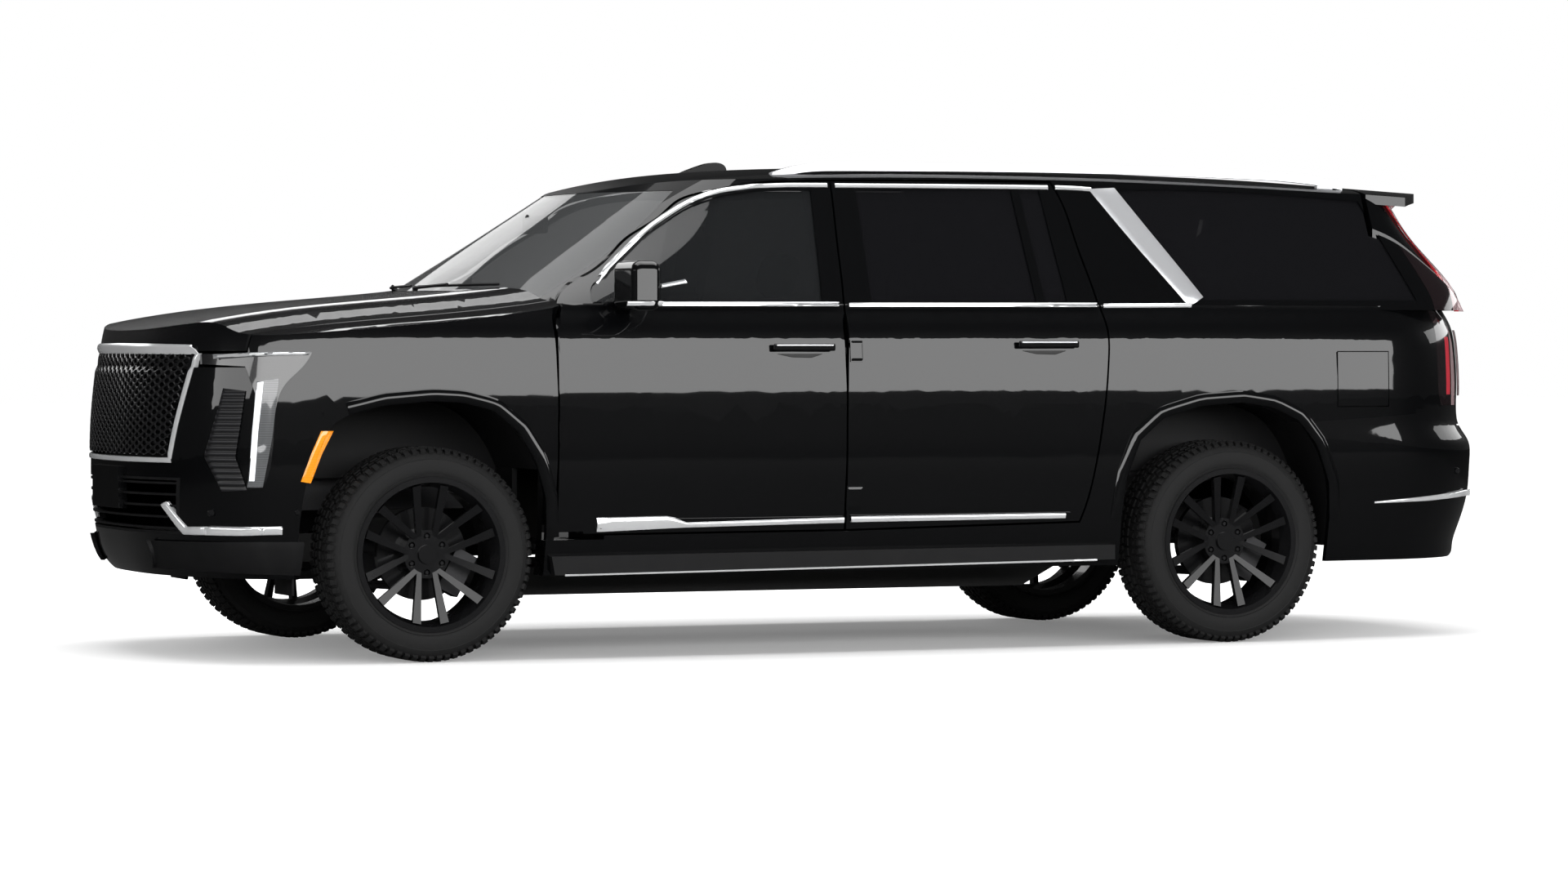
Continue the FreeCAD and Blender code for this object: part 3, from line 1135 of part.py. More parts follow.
def tyre():
    half, top, bead = TYRE_WIDTH / 2, TYRE_RADIUS, BEAD_RADIUS
    rim_half = RIM_WIDTH / 2 - BARREL_THICK
    rim_half -= SEAT
    foot = Vector(0, -rim_half, bead)
    low = [Vector(0, -rim_half, RIM_RADIUS + SEAT), Vector(0, -RIM_WIDTH / 2 - SEAT * 4, RIM_RADIUS + SEAT * 16),
           Vector(0, -half * 0.985, bead + (top - bead) * 0.34),
           Vector(0, -half, bead + (top - bead) * 0.48), Vector(0, -half * 0.965, top - TREAD_ROUND),
           Vector(0, -half + TREAD_ROUND, top - BARREL_THICK / 3)]
    side = Part.BSplineCurve()
    side.interpolate(low)
    other = Part.BSplineCurve()
    other.interpolate([Vector(0, -v.y, v.z) for v in low])
    a, b = low[-1], Vector(0, -low[-1].y, low[-1].z)
    tread = Part.Arc(a, Vector(0, 0, top), b)
    far_foot, far_low = Vector(0, rim_half, bead), Vector(0, -low[0].y, low[0].z)
    wire = Part.Wire([Part.makeLine(foot, low[0]), side.toShape(), tread.toShape(), other.toShape().reversed(),
                      Part.makeLine(far_low, far_foot), Part.makeLine(far_foot, foot)])
    return Part.Face(wire).revolve(Vector(0, 0, 0), Vector(0, 1, 0), 360)


def wheel_rim():
    half = RIM_WIDTH / 2
    outer, bead, t = RIM_RADIUS, BEAD_RADIUS - SEAT, BARREL_THICK
    well = bead - t * 2
    barrel = turned([(-half, outer), (-half + t, outer), (-half + t, bead), (half - t, bead),
                     (half - t, outer), (half, outer), (half, bead - t), (half * 0.35, bead - t),
                     (0, well - t), (-half * 0.5, well - t), (-half, bead - t)])
    face_y = -half + FACE_IN
    hub = turned([(face_y + DISH, HUB_HOLE), (face_y + DISH, HUB_RADIUS),
                  (face_y + DISH + SPOKE_DEEP, HUB_RADIUS), (face_y + DISH + SPOKE_DEEP, HUB_HOLE)])
    spokes = []
    for pair_index in range(SPOKE_PAIRS):
        for offset in (-SPOKE_ANGLE_share, SPOKE_ANGLE_share):
            base = 2 * math.pi * (pair_index + 0.30 * offset) / SPOKE_PAIRS
            tip = 2 * math.pi * (pair_index + offset) / SPOKE_PAIRS
            spokes.append(spoke(base, tip, face_y))
    rim = barrel.fuse(hub)
    for piece in spokes:
        rim = rim.fuse(piece)
    for i in range(LUG_COUNT):
        angle = 2 * math.pi * (i + 0.5) / LUG_COUNT
        centre = Vector(LUG_CIRCLE / 2 * math.cos(angle), 0, LUG_CIRCLE / 2 * math.sin(angle))
        rim = rim.cut(Part.makeCylinder(LUG_HOLE / 2, SPOKE_DEEP / 2,
                                        centre + Vector(0, face_y + DISH, 0), Vector(0, 1, 0)))
    cap = Part.makeCylinder(CAP_RADIUS, CAP_THICK, Vector(0, face_y + DISH - CAP_THICK, 0),
                            Vector(0, 1, 0))
    return rim.fuse(cap)


def spoke(base, tip, face_y):
    """One straight spoke that widens and rises from the hub to the rim."""
    wires = []
    for angle, radius, wide, front, deep in (
            (base, HUB_RADIUS * 0.8, SPOKE_NARROW, face_y + DISH, SPOKE_DEEP),
            (tip, BEAD_RADIUS - BARREL_THICK * 2, SPOKE_WIDE, face_y, SPOKE_DEEP)):
        out = Vector(math.cos(angle), 0, math.sin(angle)) * radius
        across_dir = Vector(-math.sin(angle), 0, math.cos(angle)) * (wide / 2)
        corners = [out - across_dir + Vector(0, front, 0), out + across_dir + Vector(0, front, 0),
                   out + across_dir * 0.7 + Vector(0, front + deep, 0),
                   out - across_dir * 0.7 + Vector(0, front + deep, 0)]
        wires.append(Part.makePolygon(corners + corners[:1]))
    return Part.makeLoft(wires, True, True)


def brake_disc():
    y = -RIM_WIDTH / 2 + FACE_IN + DISH + SPOKE_DEEP + DISC_IN
    disc = Part.makeCylinder(DISC_RADIUS, DISC_THICK, Vector(0, y, 0), Vector(0, 1, 0))
    hat = Part.makeCylinder(HUB_RADIUS, DISC_IN - SEAT, Vector(0, y - DISC_IN + SEAT, 0),
                            Vector(0, 1, 0))
    return disc.fuse(hat)


def at_wheel(shape, x, side):
    """Turns a left wheel piece round for the right side and moves it to its axle."""
    piece = shape.copy()
    if side > 0:
        piece.rotate(Vector(0, 0, 0), Vector(0, 0, 1), 180)
    piece.translate(Vector(x, side * TRACK / 2, TYRE_RADIUS))
    return piece


tyre_shape, rim_shape, disc_shape = tyre(), wheel_rim(), brake_disc()
for end, x in (("front", FRONT_AXLE_X), ("rear", REAR_AXLE_X)):
    for side_name, side in (("left", -1), ("right", 1)):
        save("tyre_%s_%s" % (end, side_name), at_wheel(tyre_shape, x, side))
        save("rim_%s_%s" % (end, side_name), [at_wheel(rim_shape, x, side),
                                              at_wheel(disc_shape, x, side)])

# Steering knuckles and running gear.
KINGPIN_Y = TRACK / 2 - 60.0
UPRIGHT_THICK = 46.0
UPRIGHT_TALL = 250.0
CALIPER_ANGLE = 28.0
CALIPER_LONG = 170.0
CALIPER_DEEP = 50.0
BALL_RADIUS = 20.0
disc_in_y = TRACK / 2 + RIM_WIDTH / 2 - FACE_IN - DISH - SPOKE_DEEP - DISC_IN - DISC_THICK


def caliper(x, side=-1):
    """A caliper that straddles the disc's rear edge without touching it."""
    mid = side * (disc_in_y + DISC_THICK / 2)
    wide = DISC_THICK + CALIPER_DEEP
    block = box(DISC_RADIUS * 0.62, DISC_RADIUS + CALIPER_DEEP * 0.42, mid - wide / 2, mid + wide / 2,
                -CALIPER_LONG / 2, CALIPER_LONG / 2)
    gap = Part.makeCylinder(DISC_RADIUS + GAP / 2, DISC_THICK + GAP, Vector(0, mid - DISC_THICK / 2 - GAP / 2, 0),
                            Vector(0, 1, 0))
    piece = block.cut(gap)
    piece.rotate(Vector(0, 0, 0), Vector(0, 1, 0), CALIPER_ANGLE)
    piece.translate(Vector(x, 0, TYRE_RADIUS))
    return piece


def upright(x):
    y_out = disc_in_y - SEAT
    stub = Part.makeCylinder(HUB_RADIUS * 0.75, y_out - KINGPIN_Y + UPRIGHT_THICK / 2,
                             Vector(x, -y_out, TYRE_RADIUS), Vector(0, 1, 0))
    plate = box(x - UPRIGHT_THICK * 1.4, x + UPRIGHT_THICK * 1.4, -KINGPIN_Y - UPRIGHT_THICK / 2,
                -KINGPIN_Y + UPRIGHT_THICK / 2, TYRE_RADIUS - UPRIGHT_TALL / 2,
                TYRE_RADIUS + UPRIGHT_TALL / 2)
    side_arm = caliper(x)
    bridge = box(x, x + DISC_RADIUS * 0.75, -disc_in_y + GAP, -KINGPIN_Y + UPRIGHT_THICK / 2,
                 TYRE_RADIUS - UPRIGHT_THICK * 1.6, TYRE_RADIUS + UPRIGHT_THICK / 3)
    return fused([plate, stub, side_arm, bridge])


knuckle = upright(FRONT_AXLE_X)
pair("knuckle", knuckle)

RAIL_IN_share = 0.370
RAIL_WIDE = 78.0
rail_shares = [(-0.76, 0.245), (-0.23, 0.245), (-0.12, 0.290), (0.03, 0.290), (0.115, 0.170),
               (0.80, 0.170), (0.93, 0.290), (1.20, 0.290), (1.32, 0.245), (1.86, 0.245)]
cross_shares = [(-0.60, 0.225), (0.24, 0.170), (0.50, 0.170), (0.76, 0.170), (1.40, 0.245),
                (1.80, 0.235)]
CROSS_WIDE = 70.0
ARM_RADIUS = 16.0
LOW_ARM_Z = 318.0
HIGH_ARM_Z = 520.0
SPRING_RADIUS = 48.0
AXLE_RADIUS = 26.0
DIFF_RADIUS = 120.0
DIFF_LONG = 230.0


def rail():
    top = [place(p) for p in rail_shares]
    points = top + [(x, z - RAIL_TALL) for x, z in top[::-1]]
    wire = Part.makePolygon([Vector(x, -across(RAIL_IN_share), z) for x, z in points + points[:1]])
    return Part.Face(wire).extrude(Vector(0, -RAIL_WIDE, 0))


rail_in = across(RAIL_IN_share)
frame_parts = both_sides(rail())
for station, share in cross_shares:
    x, z = place((station, share))
    frame_parts.append(box(x - CROSS_WIDE / 2, x + CROSS_WIDE / 2, -rail_in - RAIL_WIDE / 2,
                           rail_in + RAIL_WIDE / 2, z - RAIL_TALL * 0.85, z - RAIL_TALL * 0.2))
hitch = box(hitch_x0, hitch_x0 + HITCH_LONG, -HITCH_OUT / 2, HITCH_OUT / 2,
            hitch_mid - HITCH_OUT / 2, hitch_mid + HITCH_OUT / 2)
bore = box(hitch_x0 + CROSS_WIDE, hitch_x0 + HITCH_LONG + PAST, -HITCH_BORE / 2, HITCH_BORE / 2,
           hitch_mid - HITCH_BORE / 2, hitch_mid + HITCH_BORE / 2)
chassis = fused(frame_parts + [hitch]).cut(bore)
OUTRIGGER = 60.0
print("chassis", chassis.isValid(), len(chassis.Solids))
save("chassis", chassis)

ENGINE_FRONT_station = -0.42
ENGINE_REAR_station = 0.095
ENGINE_HALF_share = 0.330
engine_low_z = up(0.290) + SEAT
engine_high_z = up(0.600)
engine = box(along(ENGINE_FRONT_station), along(ENGINE_REAR_station), -rail_in - RAIL_WIDE / 2,
             rail_in + RAIL_WIDE / 2, engine_low_z, engine_high_z)
save("engine", engine)


BALL_THICK = 22.0
LOW_ROOT = 130.0
HIGH_ROOT = 90.0
SHAFT_BACK = 62.0
MOUNT_UP = 66.0


def arm_pair(x, z, root, side):
    """A wishbone from the rail to a ball seat above or below the upright."""
    y_in = side * (rail_in + RAIL_WIDE - ARM_RADIUS)
    ball = Vector(x, side * KINGPIN_Y, z)
    pieces = [rod(BALL_RADIUS + ARM_RADIUS / 2, ball - Vector(0, 0, BALL_THICK / 2),
                  ball + Vector(0, 0, BALL_THICK / 2))]
    thick = BALL_THICK * 0.8
    for step in (-root, root):
        long = math.hypot(step, ball.y - y_in)
        ox, oy = ARM_RADIUS * 0.6 * (ball.y - y_in) / long, ARM_RADIUS * 0.6 * step / long
        corners = [(x + step + ox, y_in + oy), (x + ox, ball.y + oy), (x - ox, ball.y - oy),
                   (x + step - ox, y_in - oy)]
        wire = Part.makePolygon([Vector(a, b, z - thick / 2) for a, b in corners + corners[:1]])
        pieces.append(Part.Face(wire).extrude(Vector(0, 0, thick)))
    return pieces


def axle_set(x):
    """The arms, half shafts and final drive of one axle, joined to the rails."""
    low_z = TYRE_RADIUS - UPRIGHT_TALL / 2 - SEAT - BALL_THICK / 2
    high_z = TYRE_RADIUS + UPRIGHT_TALL / 2 + SEAT + BALL_THICK / 2
    pieces = [rod(DIFF_RADIUS, Vector(x, -DIFF_LONG / 2, TYRE_RADIUS), Vector(x, DIFF_LONG / 2, TYRE_RADIUS)),
              rod(AXLE_RADIUS, Vector(x, -KINGPIN_Y + SHAFT_BACK, TYRE_RADIUS),
                  Vector(x, KINGPIN_Y - SHAFT_BACK, TYRE_RADIUS)),
              rod(ARM_RADIUS, Vector(x, -rail_in - ARM_RADIUS, TYRE_RADIUS + MOUNT_UP + ARM_RADIUS),
                  Vector(x, rail_in + ARM_RADIUS, TYRE_RADIUS + MOUNT_UP + ARM_RADIUS))]
    for side in (-1, 1):
        pieces += arm_pair(x, low_z, LOW_ROOT, side) + arm_pair(x, high_z, HIGH_ROOT, side)
        drop = rail_in + RAIL_WIDE - ARM_RADIUS * 2
        pieces.append(box(x - LOW_ROOT - ARM_RADIUS, x + LOW_ROOT + ARM_RADIUS, min(side * drop, side * (drop + ARM_RADIUS * 2)),
                          max(side * drop, side * (drop + ARM_RADIUS * 2)), low_z - ARM_RADIUS, low_z + ARM_RADIUS))
        for step in (-LOW_ROOT, LOW_ROOT):
            pieces.append(rod(ARM_RADIUS, Vector(x + step, side * (drop + ARM_RADIUS), low_z),
                              Vector(x + step, side * (drop + ARM_RADIUS), up(0.25))))
    return pieces


running = []
rear_upright = upright(REAR_AXLE_X)
for x in (FRONT_AXLE_X, REAR_AXLE_X):
    pieces = axle_set(x)
    if x == REAR_AXLE_X:
        pieces += both_sides(rear_upright)
    running += [solid for solid in fused(pieces).cut(chassis).cut(engine).Solids]
print("running gear", len(running), [round(s.Volume / 1e6, 3) for s in running])
save("running_gear", running)

# Exhaust and tank.
TANK_LONG = 640.0
TANK_TALL = 150.0
MUFFLER_RADIUS = 85.0
PIPE_RADIUS = 32.0
tank_x, tank_top = along(0.52), up(0.213) - SEAT
tank = box(tank_x, tank_x + TANK_LONG, -rail_in + SEAT, -rail_in / 4, tank_top - TANK_TALL, tank_top)
tank = tank.makeFillet(PIPE_RADIUS, tank.Edges)
muffler_z = FLOOR_Z - SEAT - MUFFLER_RADIUS
muffler = rod(MUFFLER_RADIUS, Vector(tank_x, rail_in / 2, muffler_z),
              Vector(tank_x + TANK_LONG, rail_in / 2, muffler_z))
save("exhaust", [tank, muffler])

# Roof rails, running boards and roof pod.
RAIL_ROUND = 12.0
roof_rail_shares = [(0.4510, 0.9690), (0.4800, 0.9830), (0.5400, 0.9900), (0.7400, 0.9925),
                    (0.9300, 0.9905), (1.1800, 0.9850), (1.4000, 0.9755), (1.5060, 0.9640)]
ROOF_RAIL_THICK = 30.0
ROOF_RAIL_WIDE = 36.0
roof_rail_y = across(0.608)


def roof_rail():
    top = [place(p) for p in roof_rail_shares]
    under = [(x, z - ROOF_RAIL_THICK) for x, z in top]
    runs = [top, [top[-1], under[-1]], under[::-1], [under[0], top[0]]]
    edges = runs_wire(runs, lambda p: Vector(p[0], -roof_rail_y, p[1]))
    piece = Part.Face(edges).extrude(Vector(0, -ROOF_RAIL_WIDE, 0))
    feet = []
    for station in (0.49, 0.86, 1.45):
        x = along(station)
        feet.append(box(x - ROOF_RAIL_WIDE, x + ROOF_RAIL_WIDE, -roof_rail_y - ROOF_RAIL_WIDE * 0.8,
                        -roof_rail_y - ROOF_RAIL_WIDE * 0.2, up(0.93), up(0.96)))
    ends = piece
    for foot in feet:
        ends = ends.fuse(foot)
    return ends.cut(under_surface(roof_shares, roof_fall_shares, -SEAT, up(0.5)))


both("roof_rails", roof_rail())
BOARD_OUT_share = 0.990
BOARD_IN_share = 0.860
board_shares = [(0.1400, 0.2030), (0.1440, 0.1660), (0.8440, 0.1780), (0.8440, 0.2080)]
board_points = [place(p) for p in board_shares]
board_face = Part.Face(runs_wire(polygon(board_points), lambda p: Vector(p[0], -across(BOARD_OUT_share), p[1])))
board = board_face.extrude(Vector(0, across(BOARD_OUT_share - BOARD_IN_share), 0))
board = board.cut(lower_solid(-SEAT)).common(left_half)
both("running_boards", board)

# Seats.
CUSHION_LONG = 500.0
CUSHION_TALL = 150.0
CUSHION_WIDE = 520.0
BACK_TALL = 640.0
BACK_THICK = 130.0
BACK_TILT = 17.0
SEAT_ROUND = 42.0
HEAD_WIDE = 270.0
HEAD_TALL = 170.0
HEAD_THICK = 95.0
HEAD_LIFT = 45.0
HEAD_POST_RADIUS = 7.0
BASE_INSET = 60.0
seat_rows = [
    # station of the cushion's rear, floor height, cushion height share, centre, width, heads
    (0.5000, FLOOR_Z + SHEET, 0.4000, -0.375, CUSHION_WIDE, 1),
    (0.5000, FLOOR_Z + SHEET, 0.4000, 0.375, CUSHION_WIDE, 1),
    (0.7700, FLOOR_Z + SHEET, 0.4150, 0.0, CUSHION_WIDE * 2.55, 3),
    (1.0000, REAR_FLOOR_Z + SHEET, 0.4500, 0.0, CUSHION_WIDE * 2.2, 2)]


def soft_box(x0, x1, y0, y1, z0, z1):
    piece = box(x0, x1, y0, y1, z0, z1)
    return piece.makeFillet(SEAT_ROUND, piece.Edges)


def seat(station, floor_z, height_share, centre_share, wide, heads):
    x, top, y = along(station), up(height_share), across(centre_share)
    cushion = soft_box(x - CUSHION_LONG, x, y - wide / 2, y + wide / 2, top - CUSHION_TALL, top)
    back = soft_box(x + SEAT, x + BACK_THICK, y - wide / 2, y + wide / 2,
                    top - CUSHION_TALL / 2, top + BACK_TALL)
    pieces = [back]
    for i in range(heads):
        head_y = y + (i - (heads - 1) / 2) * wide / heads
        low = top + BACK_TALL + HEAD_LIFT
        mid_x = x + BACK_THICK / 2
        pieces.append(soft_box(mid_x - HEAD_THICK / 2, mid_x + HEAD_THICK / 2, head_y - HEAD_WIDE / 2,
                               head_y + HEAD_WIDE / 2, low, low + HEAD_TALL))
        for side in (-1, 1):
            foot = Vector(mid_x, head_y + side * HEAD_WIDE / 4, low - HEAD_LIFT + SEAT)
            pieces.append(rod(HEAD_POST_RADIUS, foot, foot + Vector(0, 0, HEAD_LIFT - SEAT * 2)))
    for piece in pieces:
        piece.rotate(Vector(x, 0, top), Vector(0, 1, 0), BACK_TILT)
        piece.translate(Vector(SEAT * 2, 0, 0))
    low_back = box(x - CUSHION_LONG * 2, x + SEAT, y - wide, y + wide, 0, top + SEAT)
    pieces[0] = pieces[0].cut(low_back)
    base = box(x - CUSHION_LONG + BASE_INSET, x + BASE_INSET, y - wide / 2 + BASE_INSET,
               y + wide / 2 - BASE_INSET, floor_z + SEAT, top - CUSHION_TALL - SEAT)
    return [cushion, base] + pieces


seat_solids = []
seat_bases = []
for row in seat_rows:
    cushion, base, *rest = seat(*row)
    seat_solids += [cushion] + rest
    seat_bases.append(base)
save("seats", [solid for solid in seat_solids])
save("seat_bases", seat_bases)

# Dashboard and steering wheel.
dash_shares = [(0.1330, 0.4700), (0.1330, 0.6700), (0.1900, 0.6870), (0.2500, 0.6800),
               (0.2700, 0.6400), (0.2620, 0.5900), (0.2450, 0.5200), (0.1900, 0.4700)]
DASH_HALF_share = 0.780
WHEEL_RADIUS = 185.0
WHEEL_TUBE = 15.0
WHEEL_TILT = 24.0
COLUMN_RADIUS = 26.0
BOSS_RADIUS = 62.0
CONSOLE_HALF = 120.0
steer_centre_shares = (0.3080, 0.5700)
steer_y = -across(0.375)
dash_face = Part.Face(runs_wire(polygon([place(p) for p in dash_shares]),
                                lambda p: Vector(p[0], -across(DASH_HALF_share), p[1])))
dash = dash_face.extrude(Vector(0, across(DASH_HALF_share) * 2, 0))
console = box(along(0.19), along(0.45), -CONSOLE_HALF, CONSOLE_HALF, FLOOR_Z + SHEET + SEAT, up(0.4700))
dash = dash.fuse(console)
sx, sz = place(steer_centre_shares)
steer_centre = Vector(sx, steer_y, sz)
ring = Part.makeTorus(WHEEL_RADIUS, WHEEL_TUBE, Vector(0, 0, 0), Vector(0, 0, 1))
boss = Part.makeCylinder(BOSS_RADIUS, WHEEL_TUBE * 2, Vector(0, 0, -WHEEL_TUBE))
arms = [box(-WHEEL_RADIUS, WHEEL_RADIUS, -WHEEL_TUBE, WHEEL_TUBE, -WHEEL_TUBE / 2, WHEEL_TUBE / 2),
        box(-WHEEL_TUBE, WHEEL_TUBE, -WHEEL_RADIUS, 0, -WHEEL_TUBE / 2, WHEEL_TUBE / 2)]
column = Part.makeCylinder(COLUMN_RADIUS, WHEEL_RADIUS * 1.4, Vector(0, 0, -WHEEL_RADIUS * 1.4))
wheel = fused([ring, boss, column] + arms)
wheel.rotate(Vector(0, 0, 0), Vector(0, 0, 1), -90)
wheel.rotate(Vector(0, 0, 0), Vector(0, 1, 0), 90 - WHEEL_TILT)
wheel.translate(steer_centre)
socket = Part.makeCylinder(COLUMN_RADIUS + SEAT, WHEEL_RADIUS * 2, Vector(0, 0, -WHEEL_RADIUS * 2))
socket.rotate(Vector(0, 0, 0), Vector(0, 1, 0), 90 - WHEEL_TILT)
socket.translate(steer_centre)
save("steering_wheel", wheel)
dash = dash.cut(socket)
dash = dash.cut(body_side).cut(mirrored(body_side)).cut(floor).cut(cowl)
save("dashboard", dash)
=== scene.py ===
import bpy
import bmesh
import math
from mathutils import Matrix, Vector
from mathutils.bvhtree import BVHTree


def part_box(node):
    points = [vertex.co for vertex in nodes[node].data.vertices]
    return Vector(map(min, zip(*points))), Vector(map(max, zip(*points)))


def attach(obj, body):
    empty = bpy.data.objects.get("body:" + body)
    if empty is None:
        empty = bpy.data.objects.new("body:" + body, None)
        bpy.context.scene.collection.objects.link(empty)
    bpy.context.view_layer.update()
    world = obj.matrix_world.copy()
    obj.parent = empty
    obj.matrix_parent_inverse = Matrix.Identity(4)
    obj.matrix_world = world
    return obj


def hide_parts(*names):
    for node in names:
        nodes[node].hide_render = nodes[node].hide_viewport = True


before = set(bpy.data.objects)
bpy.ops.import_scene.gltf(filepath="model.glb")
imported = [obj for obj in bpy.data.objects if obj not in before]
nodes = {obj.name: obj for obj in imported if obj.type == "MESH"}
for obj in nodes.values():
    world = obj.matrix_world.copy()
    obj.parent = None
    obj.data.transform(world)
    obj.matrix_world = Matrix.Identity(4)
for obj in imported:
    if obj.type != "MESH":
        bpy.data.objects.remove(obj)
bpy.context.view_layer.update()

# The outer skin: pressed steel panels under a black base coat and a deep clear lacquer.
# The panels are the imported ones; only their finish is made here. The roof's coat is thinner.


class Wire:
    """A shader socket that can be used in plain arithmetic."""

    def __init__(self, tree, socket):
        self.tree, self.socket = tree, socket

    def maths(self, operation, first, second=0.0):
        node = self.tree.nodes.new("ShaderNodeMath")
        node.operation = operation
        for place, value in enumerate((first, second)):
            if isinstance(value, Wire):
                self.tree.links.new(value.socket, node.inputs[place])
            else:
                node.inputs[place].default_value = value
        return Wire(self.tree, node.outputs[0])

    def __add__(self, other):
        return self.maths("ADD", self, other)

    def __radd__(self, other):
        return self.maths("ADD", other, self)

    def __sub__(self, other):
        return self.maths("SUBTRACT", self, other)

    def __rsub__(self, other):
        return self.maths("SUBTRACT", other, self)

    def __mul__(self, other):
        return self.maths("MULTIPLY", self, other)

    def __rmul__(self, other):
        return self.maths("MULTIPLY", other, self)

    def __pow__(self, other):
        return self.maths("POWER", self, other)

    def __gt__(self, other):
        return self.maths("GREATER_THAN", self, other)

    def __lt__(self, other):
        return self.maths("LESS_THAN", self, other)

    def larger(self, other):
        return self.maths("MAXIMUM", self, other)


class Finish:
    """A new material and its node tree."""

    def __init__(self, name):
        self.material = bpy.data.materials.new(name)
        self.material.use_nodes = True
        self.tree = self.material.node_tree
        self.shader = self.tree.nodes["Principled BSDF"]

    def node(self, kind, settings=None, **values):
        """One node: its settings first, then the values or links of its sockets."""
        made = self.tree.nodes.new(kind)
        for key, value in (settings or {}).items():
            setattr(made, key, value)
        for key, value in values.items():
            self.put(made, key.replace("_", " "), value)
        return made

    def put(self, node, name, value):
        socket = next(s for s in node.inputs if s.name.lower() == name.lower() and s.enabled)
        if isinstance(value, Wire):
            self.tree.links.new(value.socket, socket)
        else:
            socket.default_value = value

    def out(self, node, place=0):
        return Wire(self.tree, node.outputs[place])

    def shade(self, **values):
        for key, value in values.items():
            self.put(self.shader, key.replace("_", " "), value)

    def place(self):
        return self.out(self.node("ShaderNodeTexCoord"), 3)

    def axes(self):
        split = self.node("ShaderNodeSeparateXYZ", Vector=self.place())
        return [self.out(split, i) for i in range(3)]

    def noise(self, scale, detail=2.0, roughness=0.5):
        return self.out(self.node("ShaderNodeTexNoise", Vector=self.place(), Scale=scale,
                                  Detail=detail, Roughness=roughness))

    def ribs(self, scale):
        """Even level bands, as they are moulded into a lens or a duct."""
        return self.out(self.node("ShaderNodeTexWave", {"bands_direction": "Z"},
                                  Vector=self.place(), Scale=scale))

    def bump(self, height, strength, distance):
        return self.out(self.node("ShaderNodeBump", Height=height, Strength=strength,
                                  Distance=distance))

    def mix(self, share, first, second):
        made = self.node("ShaderNodeMix", {"data_type": "RGBA"}, Factor=share)
        for socket, value in ((made.inputs[6], first), (made.inputs[7], second)):
            if isinstance(value, Wire):
                self.tree.links.new(value.socket, socket)
            else:
                socket.default_value = (*value, 1.0)
        return self.out(made, 2)


def finish_nodes(finish, *names):
    """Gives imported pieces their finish."""
    for name in names:
        mesh = nodes[name].data
        mesh.materials.clear()
        mesh.materials.append(finish.material)


def lacquer(name, coat, coat_blur):
    """Black base coat with fine flakes and a slight orange peel, under a clear coat."""
    made = Finish(name)
    flakes = made.noise(2400.0, 1.0)
    made.shade(Base_Color=made.mix(flakes, (0.0010, 0.0011, 0.0014), (0.0018, 0.0020, 0.0024)),
               Roughness=0.35, Specular_IOR_Level=0.05, Coat_Weight=coat, Coat_Roughness=coat_blur,
               Normal=made.bump(made.noise(30.0, 1.0), 0.008, 0.001))
    return made


paint = lacquer("black lacquer", 1.0, 0.03)
roof_paint = lacquer("black roof lacquer", 0.2, 0.06)
finish_nodes(roof_paint, "roof")
finish_nodes(paint, "door_front_left", "door_front_right", "door_rear_left", "door_rear_right",
             "bonnet", "wings", "body_side_left", "body_side_right", "tailgate",
             "front_bumper", "rear_bumper", "fuel_door", "trim_front_left", "trim_front_right",
             "trim_rear_left", "trim_rear_right")

# Windows: laminated glass in the windscreen, tinted tempered glass in the front doors and
# nearly black glass behind them. The screens and the quarter panes are bonded in.

SCREEN_END = -0.4


def glass_finish(name, tint, alpha):
    made = Finish(name)
    wash = made.noise(3.0)
    made.shade(Base_Color=(*tint, 1.0), Roughness=0.02 + wash * 0.01, Alpha=alpha,
               Specular_IOR_Level=0.5)
    return made


DARK_TINT, DARK_ALPHA = (0.006, 0.006, 0.007), 0.90
SCREEN_TINT, SCREEN_ALPHA = (0.075, 0.078, 0.080), 0.55
door_glass = glass_finish("tinted door glass", (0.016, 0.017, 0.018), 0.66)
dark_glass = glass_finish("dark tinted glass", DARK_TINT, DARK_ALPHA)
fixed_glass = glass_finish("screen and quarter glass", DARK_TINT, DARK_ALPHA)
behind_screen = fixed_glass.axes()[0] > SCREEN_END
fixed_glass.shade(Base_Color=fixed_glass.mix(behind_screen, SCREEN_TINT, DARK_TINT),
                  Alpha=behind_screen * (DARK_ALPHA - SCREEN_ALPHA) + SCREEN_ALPHA)
finish_nodes(fixed_glass, "fixed_glass")
finish_nodes(door_glass, "glass_front_left", "glass_front_right")
finish_nodes(dark_glass, "glass_rear_left", "glass_rear_right", "tailgate_glass")

# Bright strips: plated steel bands clipped along the belt, round the windows and on the sills,
# with a broad satin blade behind the rear doors. They follow the skin that they lie on.

NOSE, FRONT_AXLE, REAR_AXLE, TAIL = -2.876, -1.886, 1.520, 2.890
TALL, HALF_WIDE = 1.950, 1.030


def along(share):
    """Place along the car: 0 at the front axle, 1 at the rear one, -1 at the nose, 2 at the tail."""
    if share < 0:
        return FRONT_AXLE + share * (FRONT_AXLE - NOSE)
    if share > 1:
        return REAR_AXLE + (share - 1) * (TAIL - REAR_AXLE)
    return FRONT_AXLE + share * (REAR_AXLE - FRONT_AXLE)


def side_line(points):
    """A line on the car's side, from places along it and shares of its height."""
    return [(along(s), TALL * h) for s, h in points]


def skin(*names):
    """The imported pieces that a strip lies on, as one tree for rays."""
    vertices, faces = [], []
    for name in names:
        start = len(vertices)
        vertices += [v.co.copy() for v in nodes[name].data.vertices]
        faces += [[start + i for i in f.vertices] for f in nodes[name].data.polygons]
    return BVHTree.FromPolygons(vertices, faces)


# Rays start outside and ahead of the car; where one falls in a gap, its neighbours serve.
OUTSIDE, AHEAD = -2.0, -4.0
SPREAD, RECESS = 0.012, 0.006


